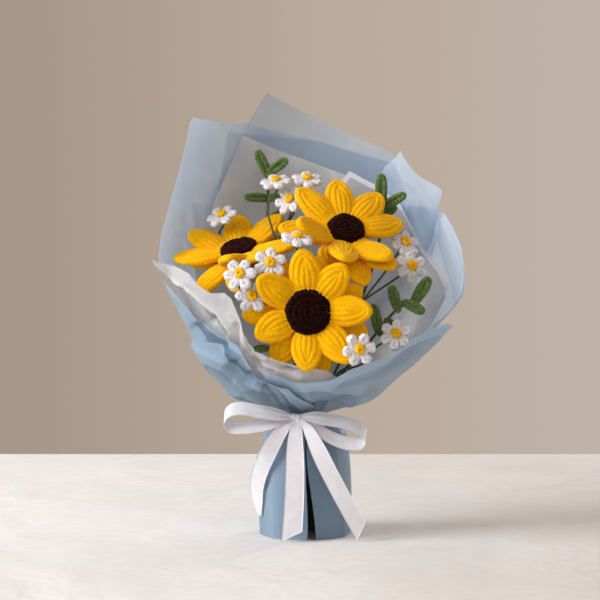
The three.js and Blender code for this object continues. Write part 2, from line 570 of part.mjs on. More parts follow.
// Leaf sprigs: looped leaves on a wire. leaf = [base, tip, width]
function leaf([base, tip, w], facing = [0, -1, 0.25]) {
  const b = V(...tip),
    axis = b.clone().sub(V(...base)).normalize(),
    a = V(...base).addScaledVector(axis, -3.5),
    L = b.distanceTo(a);
  const nn = V(...facing).addScaledVector(axis, -V(...facing).dot(axis)).normalize(),
    side = axis.clone().cross(nn);
  const g = new THREE.SphereGeometry(1, 4, 4),
    p = g.attributes.position;
  for (let i = 0; i < p.count; i++) {
    const q = a
      .clone()
      .addScaledVector(axis, ((p.getY(i) + 1) / 2) * L)
      .addScaledVector(side, (p.getX(i) * w) / 2)
      .addScaledVector(nn, p.getZ(i) * 2.4);
    p.setXYZ(i, q.x, q.y, q.z);
  }
  return g;
}
const SPRIGS = {
  left: {
    slot: [9.1, 110],
    stem: [[-14, 26, 190], [-34, 50, 258], [-39, 56, 306], [-38.5, 50, 340], [-38, 44, 368]],
    leaves: [[[-38, 45, 364], [-49.5, 42, 389], 11], [[-38, 44, 366], [-19, 40, 380], 11], [[-38.5, 50, 341], [-62, 44, 342], 10], [[-38.5, 50, 341], [-22, 44, 342], 9], [[-39, 55, 318], [-20, 48, 330], 8]],
  },
  upper_right: {
    slot: [9.1, 58],
    stem: [[30, 26, 180], [62, 40, 250], [76, 38, 300], [77, 31, 332]],
    leaves: [[[77, 31, 330], [77, 28, 364], 12.5], [[77, 31, 330], [101, 26, 344], 11], [[76.5, 34, 318], [92, 28, 331], 8]],
  },
  right: {
    slot: [9.1, 335],
    stem: [[24, -12, 150], [52, -30, 184], [68, -38, 204], [90, -34, 229], [108, -30, 238]],
    leaves: [[[107, -30, 236], [121, -31, 259], 12.5], [[98, -32, 235], [115, -38, 226], 11], [[90, -33.5, 229], [84, -31, 251], 11], [[80, -36, 217], [91, -41, 206], 10], [[72, -38, 206], [66, -36, 233], 11]],
  },
};
for (const [name, s] of Object.entries(SPRIGS)) {
  const stem = tube([...lower(...s.slot), ...s.stem], WIRE_R, 5, 15);
  put("leaf_sprig_" + name, join([stem, ...s.leaves.map((l) => leaf(l))]), "green");
}

export default bouquet;
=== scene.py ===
import math

import bpy
import numpy as np
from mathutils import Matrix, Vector


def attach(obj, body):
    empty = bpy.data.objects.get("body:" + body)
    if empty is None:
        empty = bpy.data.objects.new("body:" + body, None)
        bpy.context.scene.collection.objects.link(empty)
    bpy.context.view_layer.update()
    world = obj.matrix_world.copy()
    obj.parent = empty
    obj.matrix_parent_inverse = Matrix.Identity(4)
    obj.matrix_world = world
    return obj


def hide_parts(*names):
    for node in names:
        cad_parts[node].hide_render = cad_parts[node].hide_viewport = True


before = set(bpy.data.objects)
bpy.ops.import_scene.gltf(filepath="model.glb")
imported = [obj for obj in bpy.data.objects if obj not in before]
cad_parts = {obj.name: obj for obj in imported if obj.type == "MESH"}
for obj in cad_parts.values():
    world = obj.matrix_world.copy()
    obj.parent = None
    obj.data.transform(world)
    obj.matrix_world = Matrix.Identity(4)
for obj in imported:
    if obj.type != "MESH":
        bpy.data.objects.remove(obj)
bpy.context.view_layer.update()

SHIFT = np.array([-3.4, -5.75, -3.7])
FLOOR = 3.7
rng = np.random.default_rng(20240611)


# ------------------------------------------------------------------ camera
cam = bpy.data.cameras.new("photo_camera")
cam.lens, cam.sensor_width, cam.sensor_fit = 96.0, 36.0, "HORIZONTAL"
cam.clip_start, cam.clip_end = 0.05, 30.0
cam_ob = bpy.data.objects.new("photo_camera", cam)
cam_ob.location = (-0.0089, -1.60575, 0.2614)
cam_ob.rotation_euler = (math.radians(89.0), 0, 0)
bpy.context.scene.collection.objects.link(cam_ob)
bpy.context.scene.camera = cam_ob
bpy.context.scene.view_settings.view_transform = "Standard"
bpy.context.scene.view_settings.look = "None"


# ------------------------------------------------------------------ maths
def pchip(pts):
    X, Y = np.array(pts, float).T
    h = np.diff(X)
    d = np.diff(Y) / h
    m = np.zeros(len(X))
    m[0], m[-1] = d[0], d[-1]
    for i in range(1, len(X) - 1):
        m[i] = 0 if d[i - 1] * d[i] <= 0 else 2 * d[i - 1] * d[i] / (d[i - 1] + d[i])

    def f(x):
        x = np.asarray(x, float)
        i = np.clip(np.searchsorted(X, x, side="right") - 1, 0, len(h) - 1)
        t = np.clip((x - X[i]) / h[i], 0, 1)
        t2, t3 = t * t, t * t * t
        y = (
            (2 * t3 - 3 * t2 + 1) * Y[i]
            + (t3 - 2 * t2 + t) * h[i] * m[i]
            + (3 * t2 - 2 * t3) * Y[i + 1]
            + (t3 - t2) * h[i] * m[i + 1]
        )
        return (
            y
            + np.where(x < X[0], m[0] * (x - X[0]), 0)
            + np.where(x > X[-1], m[-1] * (x - X[-1]), 0)
        )

    return f


def lin(pts):
    X, Y = np.array(pts, float).T
    return lambda x: np.interp(x, X, Y)


def smooth(a, b, x):
    """Rises from 0 at a to 1 at b; b may be the smaller."""
    t = np.clip((np.asarray(x, float) - a) / (b - a), 0, 1)
    return t * t * (3 - 2 * t)


def lerp(a, b, t):
    return a + (b - a) * t


def rad(d):
    return np.radians(d)


def unit(v):
    v = np.asarray(v, float)
    return v / np.maximum(np.linalg.norm(v, axis=-1, keepdims=True), 1e-12)


def catmull(points, per=24):
    """Smooth line through points, as centripetal Catmull-Rom."""
    P = np.array(points, float)
    P = np.vstack([2 * P[0] - P[1], P, 2 * P[-1] - P[-2]])
    out = []
    for i in range(1, len(P) - 2):
        p0, p1, p2, p3 = P[i - 1 : i + 3]
        d0 = max(np.linalg.norm(p1 - p0) ** 0.5, 1e-4)
        d1 = max(np.linalg.norm(p2 - p1) ** 0.5, 1e-4)
        d2 = max(np.linalg.norm(p3 - p2) ** 0.5, 1e-4)
        t1 = ((p1 - p0) / d0 - (p2 - p0) / (d0 + d1) + (p2 - p1) / d1) * d1
        t2 = ((p2 - p1) / d1 - (p3 - p1) / (d1 + d2) + (p3 - p2) / d2) * d1
        t = np.linspace(0, 1, per, endpoint=False)[:, None]
        out.append(
            (2 * t**3 - 3 * t**2 + 1) * p1
            + (t**3 - 2 * t**2 + t) * t1
            + (3 * t**2 - 2 * t**3) * p2
            + (t**3 - t**2) * t2
        )
    out.append(P[-2][None])
    return np.vstack(out)


def resample(P, step, closed=False):
    P = np.asarray(P, float)
    if closed:
        P = np.vstack([P, P[:1]])
    s = np.concatenate([[0], np.cumsum(np.linalg.norm(np.diff(P, axis=0), axis=1))])
    n = max(4, int(round(s[-1] / step)))
    t = np.linspace(0, s[-1], n + 1)
    if closed:
        t = t[:-1]
    return np.stack([np.interp(t, s, P[:, k]) for k in range(3)], 1)


def tri(x):
    """Triangle wave of period 1, from -1 to 1."""
    return 4 * np.abs((x % 1.0) - 0.5) - 1


def crumple(a, b, waves, seed):
    """Creased relief over a sheet: folded triangle waves in many directions."""
    r = np.random.default_rng(seed)
    z = np.zeros_like(a)
    for wavelength, amp, count in waves:
        for _ in range(count):
            th = r.uniform(0, np.pi)
            k = wavelength * r.uniform(0.75, 1.35)
            bend = r.uniform(-0.6, 0.6)
            x = (a * np.cos(th) + b * np.sin(th)) / k
            y = (-a * np.sin(th) + b * np.cos(th)) / (2.3 * k)
            z += amp * tri(x + bend * np.sin(2 * np.pi * (y + r.uniform()))) / count**0.5
    return z


# ------------------------------------------------------------------ meshes
class Build:
    """Collects vertices and faces of one piece."""

    def __init__(self):
        self.v, self.q, self.t, self.tuft, self.grid, self.mq, self.mt, self.n = [], [], [], [], [], [], [], 0

    def add(self, v, q=None, t=None, tuft=None, grid=None, mat=0):
        v = np.asarray(v, float).reshape(-1, 3)
        self.v.append(v)
        if q is not None and len(q):
            self.q.append(np.asarray(q, int) + self.n)
            self.mq.append(np.full(len(q), mat))
        if t is not None and len(t):
            self.t.append(np.asarray(t, int) + self.n)
            self.mt.append(np.full(len(t), mat))
        self.tuft.append(np.full(len(v), 0.5) if tuft is None else np.asarray(tuft, float).ravel())
        self.grid.append(np.zeros((len(v), 3)) if grid is None else np.asarray(grid, float).reshape(-1, 3))
        self.n += len(v)

    def make(self, name, mats, nodes=(), smooth_faces=True):
        v = (np.vstack(self.v) + SHIFT) / 1000
        q = np.vstack(self.q) if self.q else np.zeros((0, 4), int)
        t = np.vstack(self.t) if self.t else np.zeros((0, 3), int)
        me = bpy.data.meshes.new(name)
        me.vertices.add(len(v))
        me.vertices.foreach_set("co", v.astype(np.float32).ravel())
        me.loops.add(q.size + t.size)
        me.loops.foreach_set("vertex_index", np.concatenate([q.ravel(), t.ravel()]).astype(np.int32))
        me.polygons.add(len(q) + len(t))
        starts = np.concatenate([np.arange(len(q)) * 4, q.size + np.arange(len(t)) * 3])
        me.polygons.foreach_set("loop_start", starts.astype(np.int32))
        mi = np.concatenate([np.concatenate(self.mq) if self.mq else [], np.concatenate(self.mt) if self.mt else []])
        me.polygons.foreach_set("material_index", mi.astype(np.int32))
        me.polygons.foreach_set("use_smooth", np.full(len(q) + len(t), smooth_faces))
        # a value per point that the materials paint as light and shade
        a = me.attributes.new("tuft", "FLOAT", "POINT")
        a.data.foreach_set("value", np.concatenate(self.tuft).astype(np.float32))
        a = me.attributes.new("grid", "FLOAT_VECTOR", "POINT")
        a.data.foreach_set("vector", np.vstack(self.grid).astype(np.float32).ravel())
        me.update(calc_edges=True)
        me.validate()
        for m in mats if isinstance(mats, (list, tuple)) else [mats]:
            me.materials.append(m)
        ob = bpy.data.objects.new(name, me)
        bpy.context.scene.collection.objects.link(ob)
        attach(ob, "root")
        if nodes:
            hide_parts(*([nodes] if isinstance(nodes, str) else nodes))
        return ob


def grid_faces(ni, nj, wrap_i=False, wrap_j=False):
    i, j = np.meshgrid(np.arange(ni if wrap_i else ni - 1), np.arange(nj if wrap_j else nj - 1), indexing="ij")
    i, j = i.ravel(), j.ravel()
    i2, j2 = (i + 1) % ni, (j + 1) % nj
    return np.stack([i * nj + j, i2 * nj + j, i2 * nj + j2, i * nj + j2], 1)


def tube(B, P, r, sides=12, ref=None, closed=False, rough=0.0, flat=1.0, wob=0.0, mat=0, twist=None, cap=True):
    """Tube along P. rough roughens its pile, flat squeezes it along ref, wob varies its thickness."""
    P = np.asarray(P, float)
    n = len(P)
    if closed:
        T = unit(np.roll(P, -1, 0) - np.roll(P, 1, 0))
    else:
        T = unit(np.gradient(P, axis=0))
    if ref is None:
        a = np.array([1.0, 0.1, 0.05]) if abs(T[0][0]) < 0.8 else np.array([0.05, 1.0, 0.1])
        up = np.zeros_like(P)
        u = unit(a - T[0] * (a @ T[0]))
        for k in range(n):
            u = u - T[k] * (u @ T[k])
            u = u / np.linalg.norm(u)
            up[k] = u
    else:
        up = np.broadcast_to(np.asarray(ref, float), P.shape)
        up = unit(up - T * (up * T).sum(1, keepdims=True))
    side = np.cross(T, up)
    r = np.broadcast_to(np.asarray(r, float), (n,)).copy()
    s = np.concatenate([[0], np.cumsum(np.linalg.norm(np.diff(P, axis=0), axis=1))])
    if wob:
        ph = rng.uniform(0, 6.28, 3)
        r *= 1 + wob * (np.sin(s / 2.1 + ph[0]) + np.sin(s / 4.7 + ph[1]) + np.sin(s / 9.1 + ph[2])) / 3
    if not closed and cap:
        # rounded ends
        end = np.minimum(s, s[-1] - s)
        r0 = float(np.mean(r))
        x = np.clip(end / r0, 0, 1)
        r *= np.sqrt(np.clip(1 - (1 - x) ** 2, 0.04, 1))
    th = np.arange(sides) / sides * 2 * np.pi
    th = th[None, :] + (0 if twist is None else s[:, None] * twist)
    noise = rng.uniform(-1, 1, (n, sides)) if rough else np.zeros((n, sides))
    R = r[:, None] * (1 + rough * noise)
    V = P[:, None] + R[..., None] * (np.cos(th)[..., None] * side[:, None] + flat * np.sin(th)[..., None] * up[:, None])
    G = np.zeros((n, sides, 3))
    G[..., 0] = s[:, None]
    G[..., 1] = (np.arange(sides) / sides * 2 * np.pi)[None] * r[:, None]
    q = grid_faces(n, sides, wrap_i=closed, wrap_j=True)
    V = V.reshape(-1, 3)
    # the pile's height noise, painted by the chenille as shade where it sinks and as light where it stands out
    tuft = (noise * 0.5 + 0.5).ravel()
    G = G.reshape(-1, 3)
    t = None
    if not closed:
        V = np.vstack([V, P[0], P[-1]])
        tuft = np.concatenate([tuft, [0.5, 0.5]])
        G = np.vstack([G, G[:1], G[-1:]])
        a, b = n * sides, n * sides + 1
        j = np.arange(sides)
        j2 = (j + 1) % sides
        t = np.vstack([np.stack([np.full(sides, a), j, j2], 1), np.stack([np.full(sides, b), (n - 1) * sides + j2, (n - 1) * sides + j], 1)])
    B.add(V, q, t, tuft, G, mat)


def two_sided(B, P, N, t, grid=None, mat=0):
    """Closed thin solid of a grid of points P with normals N."""
    ni, nj = P.shape[:2]
    A = P + N * t / 2
    C = P - N * t / 2
    q1 = grid_faces(ni, nj)
    q2 = q1[:, ::-1] + ni * nj
    edge = []
    for i in range(ni - 1):
        edge.append([i * nj, ni * nj + i * nj, ni * nj + (i + 1) * nj, (i + 1) * nj][::-1])
        a = i * nj + nj - 1
        edge.append([a, ni * nj + a, ni * nj + a + nj, a + nj])
    for j in range(nj - 1):
        edge.append([j, ni * nj + j, ni * nj + j + 1, j + 1])
        a = (ni - 1) * nj + j
        edge.append([a, ni * nj + a, ni * nj + a + 1, a + 1][::-1])
    g = None if grid is None else np.concatenate([grid.reshape(-1, 3)] * 2)
    B.add(np.concatenate([A.reshape(-1, 3), C.reshape(-1, 3)]), np.vstack([q1, q2, np.array(edge)]), None, None, g, mat)


def normals_of(P):
    a = np.gradient(P, axis=0)
    b = np.gradient(P, axis=1)
    return unit(np.cross(a, b))


# ------------------------------------------------------------------ materials
def new_material(name):
    m = bpy.data.materials.new(name)
    m.use_nodes = True
    m.node_tree.nodes.clear()
    return m, m.node_tree


def node(nt, kind, **sockets):
    n = nt.nodes.new(kind)
    for k, v in sockets.items():
        if k.startswith("_"):
            setattr(n, k[1:], v)
        else:
            n.inputs[k.replace("__", " ")].default_value = v
    return n


def ramp(nt, fac, stops):
    n = nt.nodes.new("ShaderNodeValToRGB")
    nt.links.new(fac, n.inputs[0])
    el = n.color_ramp.elements
    while len(el) < len(stops):
        el.new(0.5)
    for e, (p, c) in zip(el, stops):
        e.position = p
        e.color = (*c, 1)
    return n.outputs[0]


def noise(nt, vec, scale, detail=2.0, rough=0.5, distortion=0.0):
    n = node(nt, "ShaderNodeTexNoise", Scale=scale, Detail=detail, Roughness=rough, Distortion=distortion)
    nt.links.new(vec, n.inputs["Vector"])
    return n.outputs["Fac"]


def mixed(nt, fac, a, b, mode="MIX"):
    """Colour a mixed with b; each is a socket or a colour."""
    n = nt.nodes.new("ShaderNodeMix")
    n.data_type, n.blend_type = "RGBA", mode
    for value, k in ((fac, 0), (a, 6), (b, 7)):
        if isinstance(value, bpy.types.NodeSocket):
            nt.links.new(value, n.inputs[k])
        elif k == 0:
            n.inputs[0].default_value = value
        else:
            n.inputs[k].default_value = (*value, 1)
    return n.outputs[2]


def math_node(nt, op, a, b=None):
    n = nt.nodes.new("ShaderNodeMath")
    n.operation = op
    for k, value in enumerate((a, b)):
        if value is None:
            continue
        if isinstance(value, bpy.types.NodeSocket):
            nt.links.new(value, n.inputs[k])
        else:
            n.inputs[k].default_value = value
    return n.outputs[0]


def bump(nt, height, strength, distance, normal=None):
    n = node(nt, "ShaderNodeBump", Strength=strength, Distance=distance)
    nt.links.new(height, n.inputs["Height"])
    if normal is not None:
        nt.links.new(normal, n.inputs["Normal"])
    return n.outputs["Normal"]


def coords(nt):
    return nt.nodes.new("ShaderNodeTexCoord").outputs["Object"]


def attribute(nt, name, out="Fac"):
    n = nt.nodes.new("ShaderNodeAttribute")
    n.attribute_name = name
    return n.outputs[out]


def finish_material(m, nt, shader):
    out = nt.nodes.new("ShaderNodeOutputMaterial")
    nt.links.new(shader, out.inputs["Surface"])
    return m


def chenille(name, deep, mid, tip, sheen=0.5, sheen_tint=(1, 1, 1), spread=0.5, sub=0.0, spec=0.18, relief=0.9, span=0.29):
    """Fuzzy pile: deep colour as painted shade where the pile sinks, paler as painted light where it stands out, mixed
    with random tone.
    """
    m, nt = new_material(name)
    xyz = coords(nt)
    tuft = attribute(nt, "tuft")
    fine = noise(nt, xyz, 1500.0, 3.0, 0.65)
    broad = noise(nt, xyz, 55.0, 2.0)
    k = math_node(nt, "ADD", math_node(nt, "MULTIPLY", tuft, spread), math_node(nt, "MULTIPLY", fine, 1 - spread))
    c = ramp(nt, k, [(0.51 - span, deep), (0.5, mid), (0.51 + span, tip)])
    c = mixed(nt, math_node(nt, "MULTIPLY", broad, 0.35), c, deep)
    b = node(nt, "ShaderNodeBsdfPrincipled", Roughness=0.92)
    b.inputs["Specular IOR Level"].default_value = spec
    b.inputs["Sheen Weight"].default_value = sheen
    b.inputs["Sheen Roughness"].default_value = 0.45
    b.inputs["Sheen Tint"].default_value = (*sheen_tint, 1)
    if sub:
        b.inputs["Subsurface Weight"].default_value = sub
        b.inputs["Subsurface Radius"].default_value = (1.0, 0.55, 0.2)
        b.inputs["Subsurface Scale"].default_value = 0.0025
    nt.links.new(c, b.inputs["Base Color"])
    nt.links.new(bump(nt, fine, relief, 0.0006), b.inputs["Normal"])
    return finish_material(m, nt, b.outputs[0])


def film(name, pale, deep, cover, through, grain=0.00012, rough=0.5, crease=0.0, mottle=14.0, turned=0.5):
    """Thin sheet: cover is how much it hides, through how much light it lets glow."""
    m, nt = new_material(name)
    xyz = coords(nt)
    cloud = noise(nt, xyz, mottle, 4.0, 0.55)
    speck = noise(nt, xyz, 1100.0, 2.0, 0.6)
    c = ramp(nt, cloud, [(0.3, deep), (0.7, pale)])
    c = mixed(nt, math_node(nt, "MULTIPLY", speck, 0.12), c, tuple(min(1, v * 1.25) for v in pale))
    # painted shade where the folded sheet lies in the valleys and painted light on its ridges
    tone = ramp(nt, attribute(nt, "tuft"), [(0.0, (0.36, 0.43, 0.52)), (0.5, (1.0, 1.0, 1.0)), (0.8, (1.20, 1.18, 1.15))])
    c = mixed(nt, 1.0, c, tone, "MULTIPLY")
    sep = nt.nodes.new("ShaderNodeSeparateXYZ")
    nt.links.new(attribute(nt, "grid", "Vector"), sep.inputs[0])
    hem = math_node(nt, "GREATER_THAN", sep.outputs[2], 0.5)
    c = mixed(nt, math_node(nt, "MULTIPLY", hem, turned), c, tuple(min(0.97, v * 1.42) for v in pale))
    b = node(nt, "ShaderNodeBsdfPrincipled", Roughness=rough)
    b.inputs["Specular IOR Level"].default_value = 0.3
    b.inputs["Sheen Weight"].default_value = 0.12
    nt.links.new(c, b.inputs["Base Color"])
    n = bump(nt, speck, 0.35, grain)
    if crease:
        wrinkle = noise(nt, xyz, 42.0, 5.0, 0.6, 1.2)
        n = bump(nt, wrinkle, 0.6, crease, n)
    nt.links.new(n, b.inputs["Normal"])
    glow = nt.nodes.new("ShaderNodeBsdfTranslucent")
    nt.links.new(c, glow.inputs["Color"])
    nt.links.new(n, glow.inputs["Normal"])
    body = node(nt, "ShaderNodeMixShader", Fac=through)
    nt.links.new(b.outputs[0], body.inputs[1])
    nt.links.new(glow.outputs[0], body.inputs[2])
    if cover >= 1:
        return finish_material(m, nt, body.outputs[0])
    clear = nt.nodes.new("ShaderNodeBsdfTransparent")
    mix = nt.nodes.new("ShaderNodeMixShader")
    nt.links.new(math_node(nt, "ADD", math_node(nt, "MULTIPLY", hem, 0.6 * (1 - cover)), cover), mix.inputs[0])
    nt.links.new(clear.outputs[0], mix.inputs[1])
    nt.links.new(body.outputs[0], mix.inputs[2])
    return finish_material(m, nt, mix.outputs[0])


def satin(name):
    """White ribbon: fine cross weave, soft lustre, firmer selvedges."""
    m, nt = new_material(name)
    g = attribute(nt, "grid", "Vector")
    sep = nt.nodes.new("ShaderNodeSeparateXYZ")
    nt.links.new(g, sep.inputs[0])
    along, across = sep.outputs[0], sep.outputs[1]
    warp = math_node(nt, "SINE", math_node(nt, "MULTIPLY", across, 2 * math.pi / 0.55))
    weft = math_node(nt, "SINE", math_node(nt, "MULTIPLY", along, 2 * math.pi / 0.8))
    weave = math_node(nt, "ADD", warp, math_node(nt, "MULTIPLY", weft, 0.6))
    cloud = noise(nt, coords(nt), 120.0, 3.0)
    c = ramp(nt, cloud, [(0.3, (0.86, 0.85, 0.90)), (0.7, (0.92, 0.915, 0.955))])
    edge = math_node(nt, "GREATER_THAN", math_node(nt, "ABSOLUTE", sep.outputs[2], None), 0.9)
    c = mixed(nt, math_node(nt, "MULTIPLY", edge, 0.35), c, (0.93, 0.92, 0.95))
    b = node(nt, "ShaderNodeBsdfPrincipled", Roughness=0.42)
    b.inputs["Specular IOR Level"].default_value = 0.45
    b.inputs["Anisotropic"].default_value = 0.35
    b.inputs["Sheen Weight"].default_value = 0.35
    b.inputs["Sheen Roughness"].default_value = 0.3
    nt.links.new(c, b.inputs["Base Color"])
    nt.links.new(bump(nt, weave, 0.35, 0.00006), b.inputs["Normal"])
    glow = nt.nodes.new("ShaderNodeBsdfTranslucent")
    nt.links.new(c, glow.inputs["Color"])
    mix = node(nt, "ShaderNodeMixShader", Fac=0.20)
    nt.links.new(b.outputs[0], mix.inputs[1])
    nt.links.new(glow.outputs[0], mix.inputs[2])
    return finish_material(m, nt, mix.outputs[0])


def floss(name, dark, light):
    """Wire wound with floss: fine helical ridges."""
    m, nt = new_material(name)
    g = attribute(nt, "grid", "Vector")
    sep = nt.nodes.new("ShaderNodeSeparateXYZ")
    nt.links.new(g, sep.inputs[0])
    turn = math_node(nt, "ADD", math_node(nt, "MULTIPLY", sep.outputs[0], 2 * math.pi / 0.9), math_node(nt, "MULTIPLY", sep.outputs[1], 1.3))
    wave = math_node(nt, "SINE", turn)
    fuzz = noise(nt, coords(nt), 1400.0, 2.0)
    k = math_node(nt, "ADD", math_node(nt, "MULTIPLY", wave, 0.22), fuzz)
    c = ramp(nt, k, [(0.3, dark), (0.75, light)])
    b = node(nt, "ShaderNodeBsdfPrincipled", Roughness=0.8)
    b.inputs["Sheen Weight"].default_value = 0.3
    nt.links.new(c, b.inputs["Base Color"])
    nt.links.new(bump(nt, k, 0.6, 0.0003), b.inputs["Normal"])
    return finish_material(m, nt, b.outputs[0])


YELLOW = chenille("yellow_pile", (0.70, 0.265, 0.0006), (0.94, 0.495, 0.002), (1.0, 0.67, 0.014), 0.34, (1.0, 0.82, 0.24), 0.5, spec=0.05, relief=0.28, span=0.48)
BROWN = chenille("brown_pile", (0.0042, 0.0006, 0.0005), (0.012, 0.0019, 0.0015), (0.038, 0.008, 0.006), 0.18, (0.55, 0.18, 0.12), 0.5, spec=0.08)
WHITE = chenille("white_pile", (0.66, 0.65, 0.69), (0.88, 0.87, 0.90), (0.96, 0.96, 0.98), 0.45, (1, 1, 1), 0.4, relief=0.8)
GOLD = chenille("gold_pile", (0.78, 0.36, 0.002), (0.96, 0.53, 0.01), (1.0, 0.68, 0.03), 0.15, (1.0, 0.8, 0.2), 0.5, spec=0.06, relief=0.6)
GREEN = chenille("green_pile", (0.024, 0.056, 0.014), (0.105, 0.185, 0.052), (0.28, 0.39, 0.145), 0.55, (0.8, 1.0, 0.65), 0.5, spec=0.1)
STEM = floss("green_floss", (0.018, 0.036, 0.010), (0.085, 0.135, 0.036))
# one frosted blue in paler and darker copies: painted light on the right sheets, painted shade on the top, front and
# skirt sheets
BLUE = film("frosted_blue", (0.44, 0.56, 0.71), (0.34, 0.455, 0.60), 0.74, 0.45)
BLUE_TOP_PAINTED_SHADE = film("frosted_blue_top_painted_shade", (0.405, 0.485, 0.56), (0.305, 0.385, 0.465), 0.72, 0.45)
BLUE_RIGHT_PAINTED_LIGHT = film("frosted_blue_right_painted_light", (0.64, 0.765, 0.93), (0.52, 0.65, 0.82), 0.90, 0.52)
BLUE_FRONT_PAINTED_SHADE = film("frosted_blue_front_painted_shade", (0.265, 0.38, 0.495), (0.195, 0.30, 0.41), 0.93, 0.22)
BLUE_FRONT_RIGHT_PAINTED_SHADE = film("frosted_blue_front_right_painted_shade", (0.355, 0.48, 0.61), (0.27, 0.39, 0.52), 0.93, 0.24)
BLUE_SKIRT_PAINTED_SHADE = film("frosted_blue_skirt_painted_shade", (0.27, 0.38, 0.505), (0.215, 0.315, 0.43), 0.985, 0.16)
# one white tissue in copies: painted shade on the right sheet, painted light on the near sheet
TISSUE = film("white_tissue_paper", (0.76, 0.76, 0.76), (0.60, 0.605, 0.61), 0.95, 0.40, 0.0001, 0.65, 0.0026, 26.0)
TISSUE_RIGHT_PAINTED_SHADE = film("white_tissue_paper_right_painted_shade", (0.70, 0.705, 0.725), (0.55, 0.56, 0.585), 0.97, 0.46, 0.0001, 0.65, 0.0026, 26.0, 1.0)
TISSUE_LEFT_PAINTED_LIGHT = film("white_tissue_paper_near_painted_light", (0.85, 0.87, 0.91), (0.74, 0.76, 0.81), 0.95, 0.46, 0.0001, 0.65, 0.0030, 26.0)
SATIN = satin("white_satin")
TAPE = film("waxed_tape", (0.30, 0.42, 0.16), (0.22, 0.32, 0.12), 1.0, 0.05, 0.0001, 0.5)


# ------------------------------------------------------------------ bowl and sheets
LEFT = pchip([[112, 19.8], [122, 19.8], [125, 25], [128.5, 37], [133, 53], [139, 67], [151, 82], [163, 95], [175, 105], [187, 111], [199, 114.5], [211, 119], [223, 125], [235, 132], [247, 138], [259, 141.5], [276, 143.5], [295, 142], [319, 138], [343, 133.5], [367, 127.5], [391, 120], [415, 112], [450, 101]])
RIGHT = pchip([[112, 19.8], [122, 19.8], [125, 26.5], [128.5, 43], [133, 58], [139, 70], [151, 82], [163, 93], [175, 105], [187, 117], [199, 128], [211, 136], [223, 143], [235, 150], [247, 156], [259, 157.5], [271, 156], [297, 149], [326, 138], [345, 131], [389, 105], [450, 92]])
BACK = pchip([[112, 19.8], [122, 19.8], [127.5, 26], [134, 36], [151, 52], [180, 67], [220, 78], [260, 87], [300, 94], [350, 99], [400, 101], [460, 102]])
FRONT = pchip([[112, 19.8], [124.5, 19.8], [128, 24], [132, 33], [136.5, 46], [145, 65], [155, 78.5], [168, 89], [188, 96.5], [215, 102], [300, 107]])


def bowl(phi, z):
    c, s = np.cos(rad(phi)), np.sin(rad(phi))
    return np.stack([np.where(c >= 0, RIGHT(z), LEFT(z)) * c, np.where(s >= 0, BACK(z), FRONT(z)) * s, z + 0 * c], -1)


def bowl_normal(phi, z):
    a = bowl(phi + 0.5, z) - bowl(phi - 0.5, z)
    b = bowl(phi, z + 0.5) - bowl(phi, z - 0.5)
    return unit(np.cross(a, b))


def pleats(phi, z):
    """Gathers that spread from the tie; the same for every sheet, so none cuts another."""
    r = np.random.default_rng(5)
    grow = smooth(121, 132, z) * (1 - smooth(146, 196, z))
    out = np.zeros(np.broadcast(phi, z).shape)
    for k in range(26):
        c = 360 * (k + r.uniform(0.15, 0.85)) / 26
        w = r.uniform(2.6, 6.0)
        a = r.uniform(0.5, 1.5) * (1 if k % 3 else -1)
        d = (phi - c + 180 + 3 * np.sin(z / 9.0 + k)) % 360 - 180
        out = out + a * np.exp(-np.abs(d / w) ** 1.5)
    return (out - 0.55) * grow


